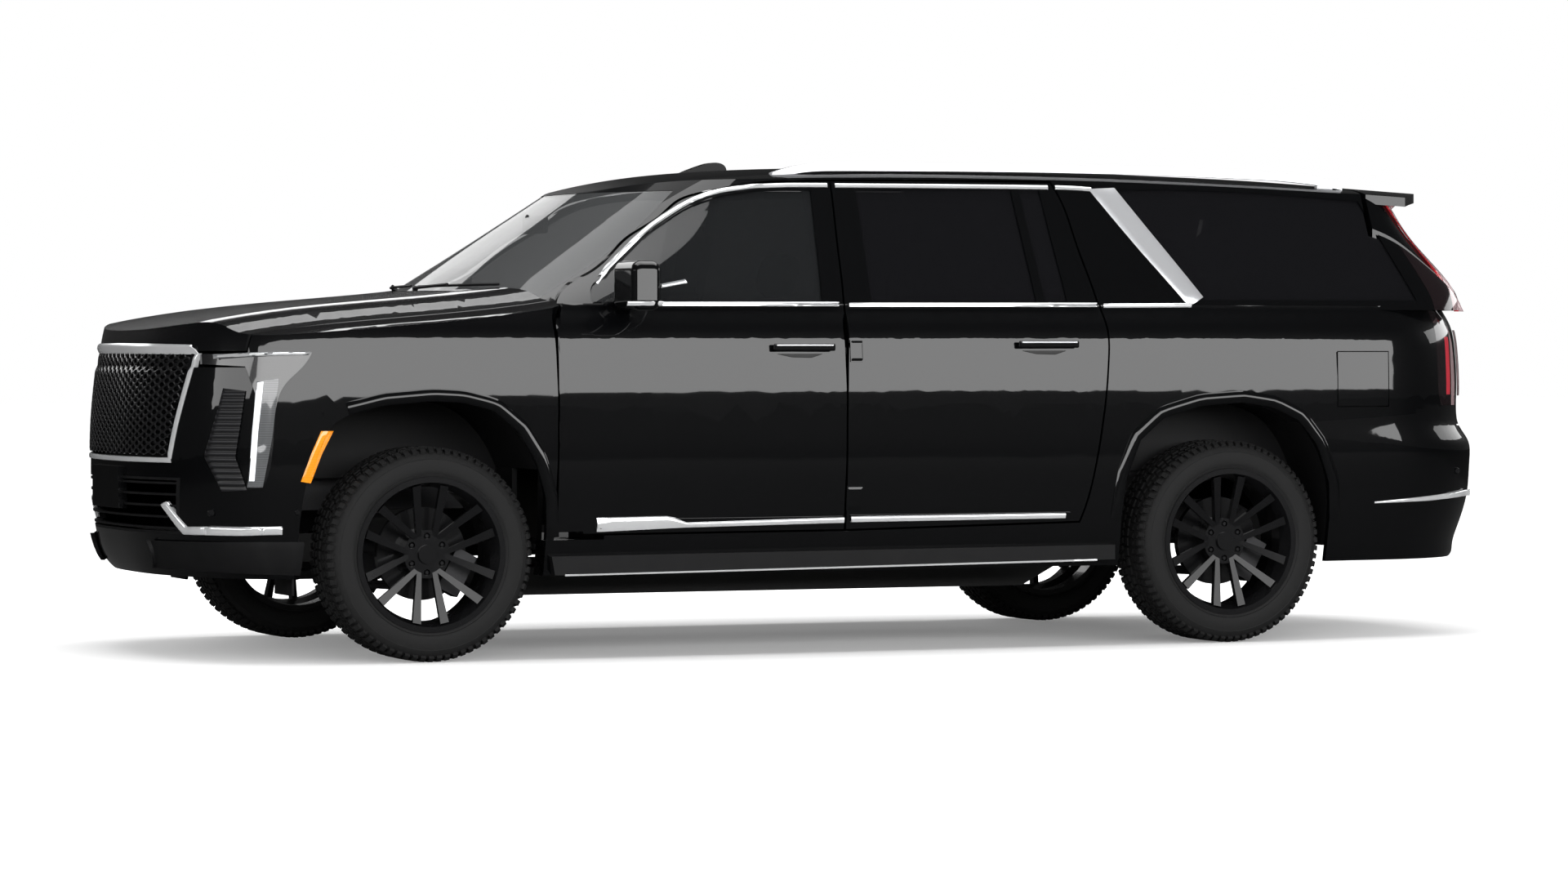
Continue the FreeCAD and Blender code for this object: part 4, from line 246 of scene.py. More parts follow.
def reach(tree, a, b, front):
    """The outermost point of the skin seen from the left, or from the front, near (a, b)."""
    found = None
    for da, db in ((0, 0), (SPREAD, 0), (-SPREAD, 0), (0, SPREAD), (0, -SPREAD)):
        start = Vector((AHEAD, a + da, b + db)) if front else Vector((a + da, OUTSIDE, b + db))
        point = tree.ray_cast(start, Vector((1, 0, 0)) if front else Vector((0, 1, 0)))[0]
        if point is None:
            continue
        depth = point[0] if front else point[1]
        if found is None or depth < found - RECESS:
            found = depth
    return found


def even_points(points, count):
    """Evenly spaced points along a line of points."""
    runs = [0.0]
    for p, q in zip(points, points[1:]):
        runs.append(runs[-1] + math.hypot(q[0] - p[0], q[1] - p[1]))
    made = []
    for i in range(count):
        at = runs[-1] * i / (count - 1)
        k = max(j for j in range(len(points) - 1) if runs[j] <= at + 1e-12)
        t = (at - runs[k]) / max(runs[k + 1] - runs[k], 1e-9)
        made.append((points[k][0] + (points[k + 1][0] - points[k][0]) * t,
                     points[k][1] + (points[k + 1][1] - points[k][1]) * t))
    return made


def offset_line(points, width):
    """The line moved sideways by width, upward where it runs to the rear."""
    made = []
    for i, (x, z) in enumerate(points):
        a, b = points[max(i - 1, 0)], points[min(i + 1, len(points) - 1)]
        size = math.hypot(b[0] - a[0], b[1] - a[1])
        made.append((x - width * (b[1] - a[1]) / size, z + width * (b[0] - a[0]) / size))
    return made


def stand(name, mesh, body=None):
    """A finished mesh as a piece of the scene, which moves with a body."""
    piece = bpy.data.objects.new(name, mesh)
    bpy.context.scene.collection.objects.link(piece)
    if body:
        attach(piece, body)
    return piece


def closed_mesh(name, vertices, faces, finish, body=None, smooth=True):
    """A closed piece whose faces look outward."""
    mesh = bpy.data.meshes.new(name)
    mesh.from_pydata(vertices, [], faces)
    shaped = bmesh.new()
    shaped.from_mesh(mesh)
    bmesh.ops.remove_doubles(shaped, verts=shaped.verts, dist=0.00002)
    bmesh.ops.dissolve_degenerate(shaped, edges=shaped.edges, dist=0.00001)
    bmesh.ops.recalc_face_normals(shaped, faces=shaped.faces)
    shaped.to_mesh(mesh)
    shaped.free()
    if smooth:
        mesh.shade_smooth()
        mesh.set_sharp_from_angle(angle=math.radians(40))
    else:
        mesh.shade_flat()
    mesh.materials.append(finish.material)
    return stand(name, mesh, body)


JUMP = 0.010


def laid_depths(surface, at, us, vs, front):
    """The skin's depth under each point of a panel, with holes and jumps bridged."""
    depths = {}
    for u in us:
        for v in vs:
            a, b = at(u, v)
            depths[u, v] = surface(a, b) if callable(surface) else reach(surface, a, b, front)
    known = sorted(d for d in depths.values() if d is not None)
    middle = known[len(known) // 2] if known else 0.0
    for v in vs:
        for k, u in enumerate(us):
            around = sorted(depths[w, v] for w in us[max(0, k - 2):k + 3]
                            if depths[w, v] is not None)
            usual = around[len(around) // 2] if around else middle
            if depths[u, v] is None or abs(depths[u, v] - usual) > JUMP:
                depths[u, v] = usual
    return depths


def panel(name, first, second, finish, body, surface, proud=0.004, deep=0.006, count=24, rows=4,
          front=False, crown=0.0):
    """A thin closed piece between two lines, a little proud of a skin or a depth function."""
    us = [0.0, 0.0] + [i / count for i in range(1, count)] + [1.0, 1.0]
    vs = [0.0, 0.0] + [0.12] + [i / rows for i in range(1, rows)] + [0.88] + [1.0, 1.0]
    fine = 3 * count
    near, far = even_points(first, fine + 1), even_points(second, fine + 1)

    def at(u, v):
        k = u * fine
        i = min(int(k), fine - 1)
        t = k - i
        a = [near[i][c] + (near[i + 1][c] - near[i][c]) * t for c in (0, 1)]
        b = [far[i][c] + (far[i + 1][c] - far[i][c]) * t for c in (0, 1)]
        return a[0] + (b[0] - a[0]) * v, a[1] + (b[1] - a[1]) * v

    def lift(place, values):
        last = len(values) - 1
        if place in (0, last):
            return -deep
        if place in (1, last - 1):
            return proud * 0.5
        return proud

    depths = laid_depths(surface, at, sorted(set(us)), sorted(set(vs)), front)
    vertices, faces = [], []
    for side in (0, 1):
        for i, u in enumerate(us):
            for j, v in enumerate(vs):
                a, b = at(u, v)
                rise = -deep if side else min(lift(i, us), lift(j, vs))
                if not side and rise > 0:
                    rise += crown * 4 * v * (1 - v)
                d = depths[u, v] - rise
                vertices.append((d, a, b) if front else (a, d, b))
        start = side * len(us) * len(vs)
        for i in range(len(us) - 1):
            for j in range(len(vs) - 1):
                k = start + i * len(vs) + j
                faces.append((k, k + 1, k + len(vs) + 1, k + len(vs)))
    return closed_mesh(name, vertices, faces, finish, body)


def opposite(piece, body, name):
    """The same piece on the other side of the car."""
    mesh = piece.data.copy()
    mesh.transform(Matrix.Scale(-1, 4, Vector((0, 1, 0))))
    mesh.flip_normals()
    return stand(name, mesh, body)


def pair(name, first, second, finish, body, surface, **shape):
    """A panel on the left of the car and its twin on the right."""
    left = panel(name + "_left", first, second, finish, body, surface, **shape)
    opposite(left, body.replace("left", "right"), name + "_right")


chrome = Finish("bright plating")
haze = chrome.noise(9.0, 3.0)
chrome.shade(Base_Color=(0.92, 0.93, 0.94, 1.0), Metallic=0.55, Roughness=0.12 + haze * 0.06)
satin = Finish("satin plating")
brush = satin.noise(60.0, 3.0)
satin.shade(Base_Color=(0.72, 0.73, 0.75, 1.0), Metallic=0.60, Roughness=0.26 + brush * 0.08)
finish_nodes(satin, "roof_rails")

side_skin = skin("body_side_left", "fixed_glass", "roof")
BAND_WIDE = 0.017
window_bands = (
    ("front", "door_front_left", skin("door_front_left", "glass_front_left"), 40, [
        (0.2120, 0.7420), (0.2296, 0.7738), (0.2577, 0.8119), (0.2756, 0.8370), (0.2926, 0.8586),
        (0.3114, 0.8789), (0.3275, 0.8956), (0.3448, 0.9107), (0.3619, 0.9224), (0.3805, 0.9310),
        (0.4163, 0.9397), (0.4627, 0.9429), (0.5094, 0.9435)]),
    ("rear", "door_rear_left", skin("door_rear_left", "glass_rear_left"), 40, [
        (0.5192, 0.9431), (0.5896, 0.9438), (0.6546, 0.9443), (0.7265, 0.9447), (0.7930, 0.9447)]),
    ("side", "root", side_skin, 8, [(0.8030, 0.9448), (0.8280, 0.9440), (0.8500, 0.9418)]))
for where, body, surface, count, line in window_bands:
    path = side_line(line)
    pair("window_band_" + where, offset_line(path, -BAND_WIDE / 2), offset_line(path, BAND_WIDE / 2),
         chrome, body, surface, proud=0.005, count=count, rows=2, crown=0.002)
belt_bands = (
    ("front", "door_front_left", skin("trim_front_left", "door_front_left"), 0.2080, 0.4990),
    ("rear", "door_rear_left", skin("trim_rear_left", "door_rear_left"), 0.5120, 0.8280),
    ("side", "root", side_skin, 0.8380, 0.9530))
for where, body, surface, start, end in belt_bands:
    pair("belt_band_" + where, side_line([(start, 0.6950), (end, 0.6965)]),
         side_line([(start, 0.7035), (end, 0.7050)]), chrome, body, surface,
         proud=0.0025, deep=0.004, count=20, rows=2, crown=0.001)
pair("pillar_blade", side_line([(0.8461, 0.9425), (0.9000, 0.8150), (0.9530, 0.6975)]),
     side_line([(0.8810, 0.9455), (0.9250, 0.8380), (0.9735, 0.7180)]), satin, "root", side_skin,
     proud=0.006, count=24, rows=4, crown=0.003)
sill_strips = (
    ("front", "door_front_left", [(0.1960, 0.2500), (0.2990, 0.2560), (0.4990, 0.2610)],
     [(0.1955, 0.2775), (0.2850, 0.2793), (0.3040, 0.2660), (0.4990, 0.2720)]),
    ("rear", "door_rear_left", [(0.5080, 0.2620), (0.7805, 0.2640)],
     [(0.5080, 0.2735), (0.7805, 0.2745)]))
for where, body, low, high in sill_strips:
    pair("sill_strip_" + where, side_line(low), side_line(high), chrome, body,
         skin(body, "trim_%s_left" % where), proud=0.003, count=36, rows=3, crown=0.002)

# Door flanges: thin folded steel ahead of each front door's edge, over its hinges, and a raised
# cover over each hinge of the rear doors. They are painted with the doors and turn with them.


LEAST_OUT = -0.90


def first_hit(tree, z, start, end, step):
    """Where rays from the left, moved along the car, first meet the outer skin."""
    for i in range(int(abs(end - start) / abs(step))):
        x = start + step * i
        point = tree.ray_cast(Vector((x, OUTSIDE, z)), Vector((0, 1, 0)))[0]
        if point is not None and point[1] < LEAST_OUT:
            return x, point[1]
    return None


FLANGE_LOW, FLANGE_STEP, FLANGE_ROWS = 0.490, 0.0195, 43
FLANGE_FRONT = -1.378
FLANGE_OVERLAP = 0.008
WING_SEARCH, DOOR_SEARCH, SEARCH_STEP = (-1.320, -1.460), (-1.400, -1.180), 0.002
wing_skin, front_door_skin = skin("wings"), skin("door_front_left")
flange_rows = []
for i in range(FLANGE_ROWS):
    z = FLANGE_LOW + FLANGE_STEP * i
    wing_end = first_hit(wing_skin, z, *WING_SEARCH, -SEARCH_STEP)
    door_end = first_hit(front_door_skin, z, *DOOR_SEARCH, SEARCH_STEP)
    if wing_end and door_end:
        flange_rows.append((z, wing_end, door_end))


def flange_depth(x, z):
    """Between the wing's skin and the door's, at the height of the nearest row."""
    _, wing_end, door_end = min(flange_rows, key=lambda row: abs(row[0] - z))
    share = (x - wing_end[0]) / max(door_end[0] - wing_end[0], 0.001)
    return wing_end[1] + (door_end[1] - wing_end[1]) * share


pair("door_flange",
     [(max(FLANGE_FRONT, wing_end[0] + FLANGE_OVERLAP), z) for z, wing_end, _ in flange_rows],
     [(door_end[0] - 0.0005, z) for z, _, door_end in flange_rows], paint, "door_front_left",
     flange_depth, proud=0.0, deep=0.0025, count=len(flange_rows) - 1, rows=3)

# Each cover reaches back to one place on the door and takes its depth just behind it.
COVER_END, COVER_READ = -0.106, -0.090
rear_door_skin = skin("door_rear_left")
for where, low, high, start in (("low", 0.556, 0.652, -0.176), ("high", 1.140, 1.226, -0.160)):
    low_depth, high_depth = (reach(rear_door_skin, COVER_READ, z, False) for z in (low, high))

    def cover_depth(x, z, low=low, high=high, low_depth=low_depth, high_depth=high_depth):
        return low_depth + (high_depth - low_depth) * (z - low) / (high - low)

    pair("hinge_cover_" + where, [(start, low), (start, high)], [(COVER_END, low), (COVER_END, high)],
         paint, "door_rear_left", cover_depth, proud=0.0065, deep=-0.0045, count=10, rows=8)

# Door handles and mirrors: painted mouldings bolted through the doors. Each handle has a thin
# satin line along it, a painted highlight, and a shaded cup behind it, and each mirror a clear
# lamp at its outer end.

HIGHLIGHT_HALF = 0.0016
# A thin strip of satin plating along each handle: a painted highlight where the handle's curve catches
# the lamps.
for where, start, end, height in (("front", 0.4120, 0.4820, 0.6180), ("rear", 0.7210, 0.7920, 0.6240)):
    body = "door_%s_left" % where
    pair("handle_line_" + where, side_line([(start, height - HIGHLIGHT_HALF), (end, height - HIGHLIGHT_HALF)]),
         side_line([(start, height + HIGHLIGHT_HALF), (end, height + HIGHLIGHT_HALF)]), satin, body,
         skin("trim_%s_left" % where, body), proud=0.001, deep=0.002, count=12, rows=2)
cup_shade = Finish("handle cup shade")
cup_wave = cup_shade.noise(30.0)
cup_shade.shade(Base_Color=(0.0015, 0.0015, 0.0016, 1.0), Roughness=0.42 + cup_wave * 0.08)
CUP_LONG = 0.0560
for where, start, height in (("front", 0.4160, 0.6010), ("rear", 0.7250, 0.6070)):
    body = "door_%s_left" % where
    pair("handle_cup_" + where,
         side_line([(start, height - 0.0010), (start + 0.0180, height - 0.0075),
                    (start + 0.0420, height - 0.0085), (start + CUP_LONG, height - 0.0010)]),
         side_line([(start, height), (start + CUP_LONG, height)]), cup_shade, body, skin(body),
         proud=0.0006, deep=0.002, count=16, rows=3)
mirror_lens = Finish("mirror lamp lens")
mirror_ribs = mirror_lens.noise(220.0)
mirror_lens.shade(Base_Color=(0.72, 0.73, 0.74, 1.0), Roughness=0.08 + mirror_ribs * 0.05,
                  Metallic=0.4, Coat_Weight=1.0, Coat_Roughness=0.03)
pair("mirror_lamp", side_line([(0.2480, 0.7300), (0.2800, 0.7400)]),
     side_line([(0.2520, 0.7390), (0.2790, 0.7480)]), mirror_lens, "door_front_left",
     skin("trim_front_left"), proud=0.003, count=12, rows=3, crown=0.002)

# Dark mouldings: grained plastic at the running boards, cowl, wheel housings and lower grille,
# clipped to the body. A plated strip runs along each running board's edge.

plastic = Finish("grained dark plastic")
grain = plastic.noise(700.0, 3.0)
plastic.shade(Base_Color=plastic.mix(plastic.noise(12.0), (0.0050, 0.0050, 0.0055),
                                     (0.0085, 0.0085, 0.0090)),
              Roughness=0.45 + grain * 0.15, Specular_IOR_Level=0.2,
              Normal=plastic.bump(grain, 0.25, 0.0004))
gloss_plastic = Finish("gloss dark plastic")
gloss_wave = gloss_plastic.noise(14.0)
gloss_plastic.shade(Base_Color=(0.004, 0.004, 0.0045, 1.0), Roughness=0.12 + gloss_wave * 0.06)
finish_nodes(plastic, "running_boards", "cowl", "wheel_housings", "lower_grille", "seat_bases")
finish_nodes(gloss_plastic, "grille")
pair("board_strip", side_line([(0.1560, 0.1640), (0.8205, 0.1755)]),
     side_line([(0.1557, 0.1675), (0.8205, 0.1795)]), chrome, "root", skin("running_boards"),
     proud=0.003, count=40, rows=2)

# The front grille: a plated frame clipped round the opening, and behind it a dark moulded mesh
# of rows of bowed links over a plain black sheet.


def front_line(points):
    """A line on the car's front, from shares of its half width and height."""
    return [(HALF_WIDE * v, TALL * h) for v, h in points]


front_skin = skin("front_bumper", "grille", "bonnet", "headlamps", "wings", "lower_grille")
PLAN_HEIGHT, SIDE_PLACE = TALL * 0.385, HALF_WIDE * 0.690
plan_steps = [HALF_WIDE * 0.035 * i for i in range(25)]
plan_line = [reach(front_skin, -y, PLAN_HEIGHT, True) for y in plan_steps]
rise_steps = [TALL * (0.180 + 0.009 * i) for i in range(50)]
rise_line = [reach(front_skin, -SIDE_PLACE, z, True) for z in rise_steps]
rise_line = [d if d is not None else rise_line[max(i - 1, 0)] for i, d in enumerate(rise_line)]


def read_line(places, values, at):
    """The value of a stepped line at a place between its steps."""
    for i in range(len(places) - 1):
        if at <= places[i + 1] or i == len(places) - 2:
            share = (at - places[i]) / (places[i + 1] - places[i])
            return values[i] + (values[i + 1] - values[i]) * share


side_start = read_line(rise_steps, rise_line, PLAN_HEIGHT)


def nose(y, z):
    """The nose's face: the plan line of the bumper, leaned as its corner leans."""
    return read_line(plan_steps, plan_line, abs(y)) + read_line(rise_steps, rise_line, z) - side_start


BACKING_SET = 0.055


def behind_mesh(y, z):
    return nose(y, z) + BACKING_SET


panel("grille_header",
      front_line([(-0.664, 0.6000), (-0.33, 0.6005), (0.0, 0.6010), (0.33, 0.6005), (0.664, 0.6000)]),
      front_line([(-0.640, 0.6190), (-0.33, 0.6215), (0.0, 0.6222), (0.33, 0.6215), (0.640, 0.6190)]),
      chrome, "root", nose, proud=0.008, deep=-0.001, count=48, rows=4, front=True, crown=0.003)
for side, name in ((-1, "left"), (1, "right")):
    inner = [(side * 0.646, 0.6020), (side * 0.598, 0.5000), (side * 0.546, 0.3990)]
    outer = [(side * 0.662, 0.6020), (side * 0.614, 0.5000), (side * 0.562, 0.3960)]
    panel("grille_edge_" + name, front_line(inner), front_line(outer), chrome, "root", nose,
          proud=0.007, deep=0.012, count=24, rows=2, front=True, crown=0.001)
panel("grille_foot", front_line([(-0.562, 0.3890), (0.0, 0.3880), (0.562, 0.3890)]),
      front_line([(-0.556, 0.3990), (0.0, 0.3985), (0.556, 0.3990)]), chrome, "root", nose,
      proud=0.006, deep=0.012, count=48, rows=2, front=True, crown=0.001)
panel("grille_backing", front_line([(-0.545, 0.3990), (0.545, 0.3990)]),
      front_line([(-0.645, 0.6040), (0.645, 0.6040)]), plastic, "root", behind_mesh,
      proud=0.0, deep=0.005, count=32, rows=4, front=True)


def new_group(name, *sockets):
    """An empty geometry node group with named inputs, its first nodes, and how to add and wire."""
    group = bpy.data.node_groups.new(name, "GeometryNodeTree")
    for label, kind in sockets:
        group.interface.new_socket(label, in_out="INPUT", socket_type="NodeSocket" + kind)
    group.interface.new_socket("Geometry", in_out="OUTPUT", socket_type="NodeSocketGeometry")
    add, wire = group.nodes.new, group.links.new
    return group, add, wire, add("NodeGroupInput"), add("NodeGroupOutput")


def real_and_painted(add, wire, shapes, given, result):
    """The end of a group: the repeats made real and given their finish."""
    real, painted = add("GeometryNodeRealizeInstances"), add("GeometryNodeSetMaterial")
    wire(shapes, real.inputs["Geometry"])
    wire(real.outputs["Geometry"], painted.inputs["Geometry"])
    wire(given.outputs["Finish"], painted.inputs["Material"])
    wire(painted.outputs["Geometry"], result.inputs["Geometry"])


def link_group():
    """Geometry nodes: bowed links set along a row, repeated up the opening."""
    group, add, wire, given, result = new_group(
        "link rows", ("Columns", "Int"), ("Rows", "Int"), ("Wide", "Float"), ("Tall", "Float"),
        ("Link", "Object"), ("Finish", "Material"))
    grid, points = add("GeometryNodeMeshGrid"), add("GeometryNodeInstanceOnPoints")
    linked = add("GeometryNodeObjectInfo")
    wire(given.outputs["Wide"], grid.inputs["Size X"])
    wire(given.outputs["Tall"], grid.inputs["Size Y"])
    wire(given.outputs["Columns"], grid.inputs["Vertices X"])
    wire(given.outputs["Rows"], grid.inputs["Vertices Y"])
    wire(given.outputs["Link"], linked.inputs["Object"])
    wire(grid.outputs["Mesh"], points.inputs["Points"])
    wire(linked.outputs["Geometry"], points.inputs["Instance"])
    real_and_painted(add, wire, points.outputs["Instances"], given, result)
    return group


def nodes_mesh(name, group, **values):
    """Runs a geometry node group once and keeps its plain mesh."""
    holder = bpy.data.objects.new(name, bpy.data.meshes.new(name + " seed"))
    bpy.context.scene.collection.objects.link(holder)
    modifier = holder.modifiers.new("nodes", "NODES")
    modifier.node_group = group
    for item in group.interface.items_tree:
        if item.in_out == "INPUT" and item.name in values:
            modifier[item.identifier] = values[item.name]
    graph = bpy.context.evaluated_depsgraph_get()
    mesh = bpy.data.meshes.new_from_object(holder.evaluated_get(graph))
    bpy.data.objects.remove(holder)
    return mesh


def tube(path, radius, sides=6):
    """Vertices and faces of a closed round bar along a line of points."""
    vertices, faces = [], []
    first = None
    for i, point in enumerate(path):
        a, b = path[max(i - 1, 0)], path[min(i + 1, len(path) - 1)]
        ahead = (Vector(b) - Vector(a)).normalized()
        first = ahead.orthogonal() if first is None else first - ahead * first.dot(ahead)
        first = first.normalized()
        second = ahead.cross(first)
        for k in range(sides):
            turn = 2 * math.pi * k / sides
            around = first * math.cos(turn) + second * math.sin(turn)
            vertices.append(tuple(Vector(point) + around * radius))
    for i in range(len(path) - 1):
        for k in range(sides):
            a, b = i * sides + k, i * sides + (k + 1) % sides
            faces.append((a, b, b + sides, a + sides))
    faces.append(tuple(range(sides))[::-1])
    faces.append(tuple(range((len(path) - 1) * sides, len(path) * sides)))
    return vertices, faces


def joined(shapes):
    """Several lots of vertices and faces as one."""
    vertices, faces = [], []
    for more_vertices, more_faces in shapes:
        faces += [tuple(len(vertices) + i for i in f) for f in more_faces]
        vertices += more_vertices
    return vertices, faces


def loose_parts(shaped):
    """The vertices of each separate link of a mesh."""
    parts, seen = [], set()
    for vertex in shaped.verts:
        if vertex in seen:
            continue
        stack, part = [vertex], []
        seen.add(vertex)
        while stack:
            found = stack.pop()
            part.append(found)
            for edge in found.link_edges:
                other = edge.other_vert(found)
                if other not in seen:
                    seen.add(other)
                    stack.append(other)
        parts.append(part)
    return parts


mesh_dark = Finish("grille mesh")
mesh_wave = mesh_dark.noise(20.0)
mesh_dark.shade(Base_Color=(0.010, 0.010, 0.011, 1.0), Metallic=0.3, Roughness=0.22 + mesh_wave * 0.06,
                Coat_Weight=0.6, Coat_Roughness=0.08)
LINK_WIDE, LINK_TALL, LINK_THICK = 0.062, 0.030, 0.0042
LOWER_BOW, LOWER_THICK = 0.55, 0.7
bow = [(-0.5, 0.0), (-0.36, 0.06), (-0.2, 0.42), (0.0, 0.56), (0.2, 0.42), (0.36, 0.06), (0.5, 0.0)]
link = closed_mesh("link seed", *joined([
    tube([(LINK_WIDE * a, LINK_TALL * b, 0.0) for a, b in bow], LINK_THICK),
    tube([(LINK_WIDE * a, -LINK_TALL * b * LOWER_BOW, 0.0) for a, b in bow],
         LINK_THICK * LOWER_THICK)]), mesh_dark)
COLUMNS, ROWS = 22, 13
odd_rows = nodes_mesh("odd rows", link_group(), Columns=COLUMNS, Rows=ROWS,
                      Wide=LINK_WIDE * (COLUMNS - 1), Tall=LINK_TALL * (ROWS - 1), Link=link,
                      Finish=mesh_dark.material)
even_rows = odd_rows.copy()
even_rows.transform(Matrix.Translation((LINK_WIDE / 2, LINK_TALL / 2, 0.0)))
links = bmesh.new()
links.from_mesh(odd_rows)
links.from_mesh(even_rows)

# Each link is laid on the nose, and those outside the frame are left out.
GRILLE_LOW, GRILLE_HIGH = 0.4010, 0.6020
FOOT_HALF, HEAD_WIDER = 0.552, 0.094
LEAST_SHARE, MOST_SHARE = 0.03, 0.985
middle_z = TALL * (GRILLE_LOW + GRILLE_HIGH) / 2
outside = []
for part in loose_parts(links):
    y = sum(v.co.x for v in part) / len(part)
    z = middle_z + sum(v.co.y for v in part) / len(part)
    share = (z / TALL - GRILLE_LOW) / (GRILLE_HIGH - GRILLE_LOW)
    limit = HALF_WIDE * (FOOT_HALF + HEAD_WIDER * share) - LINK_WIDE / 2
    if abs(y) > limit or not LEAST_SHARE < share < MOST_SHARE:
        outside += part
        continue
    for v in part:
        place_y, place_z = v.co.x, middle_z + v.co.y
        v.co = (nose(place_y, place_z) - LINK_THICK * 0.5 - v.co.z, place_y, place_z)
bmesh.ops.delete(links, geom=outside, context="VERTS")
bmesh.ops.recalc_face_normals(links, faces=links.faces)
grille_mesh = bpy.data.meshes.new("grille_mesh")
links.to_mesh(grille_mesh)
links.free()
grille_mesh.materials.clear()
grille_mesh.materials.append(mesh_dark.material)
grille_mesh.shade_smooth()
stand("grille_mesh", grille_mesh, "root")
bpy.data.objects.remove(link)

# Wipers and interior mirror: two sprung arms with rubber blades parked at the foot of the
# windscreen, and a mirror on a short stem stuck to the inside of the glass.


def on_screen(y, z, ahead):
    """A point ahead of the windscreen, or behind it, at a place in the front view."""
    return (reach(screen_skin, y, z, True) - ahead, y, z)


def bars(name, lines, finish, body):
    """Round bars that follow lines of points, as one piece."""
    return closed_mesh(name, *joined([tube(path, radius) for path, radius in lines]), finish, body)


def block(name, low, high, finish, body, edge):
    """A box with rounded edges."""
    shaped = bmesh.new()
    bmesh.ops.create_cube(shaped, size=1.0)
    for v in shaped.verts:
        v.co = [(low[i] + high[i]) / 2 + v.co[i] * (high[i] - low[i]) for i in range(3)]
    bmesh.ops.bevel(shaped, geom=shaped.edges[:], offset=edge, segments=3, affect="EDGES", profile=0.5)
    bmesh.ops.recalc_face_normals(shaped, faces=shaped.faces)
    mesh = bpy.data.meshes.new(name)
    shaped.to_mesh(mesh)
    shaped.free()
    mesh.shade_smooth()
    mesh.set_sharp_from_angle(angle=math.radians(40))
    mesh.materials.append(finish.material)
    return stand(name, mesh, body)


screen_skin = skin("fixed_glass")
BLADE_Z, BLADE_DROP, PIVOT_Z = 1.4420, 0.0040, 1.4330
BLADE_THICK, ARM_THICK, PIVOT_THICK = 0.0055, 0.0065, 0.0120
BLADE_LIFT, PIVOT_LIFT = 0.018, 0.020
wiper_lines = []
for start, end, pivot in ((-0.640, -0.060, -0.030), (0.050, 0.620, 0.650)):
    rubber_line = [on_screen(start + (end - start) * i / 8, BLADE_Z - BLADE_DROP * i / 8,
                             BLADE_LIFT) for i in range(9)]
    x, y, z = rubber_line[4]
    rest = on_screen(pivot, PIVOT_Z, PIVOT_LIFT)
    wiper_lines += [(rubber_line, BLADE_THICK), ([rest, (x - 0.010, y, z + 0.004)], ARM_THICK),
                    ([rest, (rest[0] + 0.016, rest[1], rest[2] - 0.006)], PIVOT_THICK)]
bars("wipers", wiper_lines, plastic, "root")
MIRROR_Z, MIRROR_HALF_WIDE, MIRROR_HALF_TALL = 1.690, 0.125, 0.036
stem_x = on_screen(0.0, MIRROR_Z + 0.040, 0.0)[0]
block("cabin_mirror", (stem_x + 0.030, -MIRROR_HALF_WIDE, MIRROR_Z - MIRROR_HALF_TALL),
      (stem_x + 0.056, MIRROR_HALF_WIDE, MIRROR_Z + MIRROR_HALF_TALL), plastic, "root", 0.010)
bars("cabin_mirror_stem", [([(stem_x + 0.004, 0.0, MIRROR_Z + 0.034),
                             (stem_x + 0.044, 0.0, MIRROR_Z + 0.010)], 0.009)], plastic, "root")

# Head lamps: a thin lit bar along the bonnet's edge, a tall lamp with a bright strip, and a
# ribbed dark duct beside it, all behind clear covers in the bumper's corners.

lens = Finish("smoked lamp body")
lens_ribs = lens.ribs(30.0)
lens.shade(Base_Color=lens.mix(lens_ribs, (0.003, 0.003, 0.0035), (0.008, 0.008, 0.009)),
           Roughness=0.18, Coat_Weight=1.0, Coat_Roughness=0.02)
finish_nodes(lens, "headlamps")
lit = Finish("lit white strip")
lit_grain = lit.noise(160.0)
lit.shade(Base_Color=(0.82, 0.84, 0.86, 1.0), Roughness=0.30, Emission_Strength=0.55,
          Emission_Color=lit.mix(lit_grain, (0.90, 0.93, 1.0), (1.0, 1.0, 1.0)))
pale_lens = Finish("pale lamp lens")
pale_ribs = pale_lens.ribs(55.0)
pale_lens.shade(Base_Color=pale_lens.mix(pale_ribs, (0.06, 0.062, 0.065), (0.16, 0.165, 0.17)),
                Roughness=0.12, Coat_Weight=1.0, Coat_Roughness=0.02)
vent = Finish("ribbed duct")
duct_ribs_and_groove_shade = vent.ribs(14.0)
# The ribs are bumped. Their grooves are painted darker and their crests lighter: painted shade between
# the ribs.
vent.shade(Base_Color=vent.mix(duct_ribs_and_groove_shade, (0.003, 0.003, 0.0035), (0.016, 0.016, 0.018)),
           Roughness=0.35, Normal=vent.bump(duct_ribs_and_groove_shade, 0.6, 0.004))
corner_skin = skin("headlamps", "front_bumper", "wings", "bonnet")
lamp_panels = (
    ("lamp_bar", [(-0.8000, 0.5920), (-0.6970, 0.5960), (-0.5600, 0.5980), (-0.4800, 0.5990)],
     [(-0.8000, 0.6005), (-0.6970, 0.6040), (-0.5600, 0.6055), (-0.4700, 0.6055)], pale_lens, 0.004),
    ("lamp_bar_light", [(-0.6900, 0.6000), (-0.5600, 0.6015), (-0.4900, 0.6020)],
     [(-0.6900, 0.6030), (-0.5600, 0.6045), (-0.4900, 0.6045)], lit, 0.006),
    ("lamp_lens", [(-0.7000, 0.3440), (-0.6950, 0.3600), (-0.6640, 0.5480)],
     [(-0.6450, 0.3440), (-0.6130, 0.4400), (-0.5870, 0.5540)], pale_lens, 0.004),
    ("lamp_strip", [(-0.6940, 0.3560), (-0.6820, 0.4500), (-0.6640, 0.5460)],
     [(-0.6760, 0.3560), (-0.6640, 0.4500), (-0.6430, 0.5480)], lit, 0.010),
    ("corner_duct", [(-0.7000, 0.3380), (-0.7400, 0.4020), (-0.7050, 0.5300)],
     [(-0.7800, 0.3350), (-0.8310, 0.4030), (-0.7720, 0.5350)], vent, 0.003))
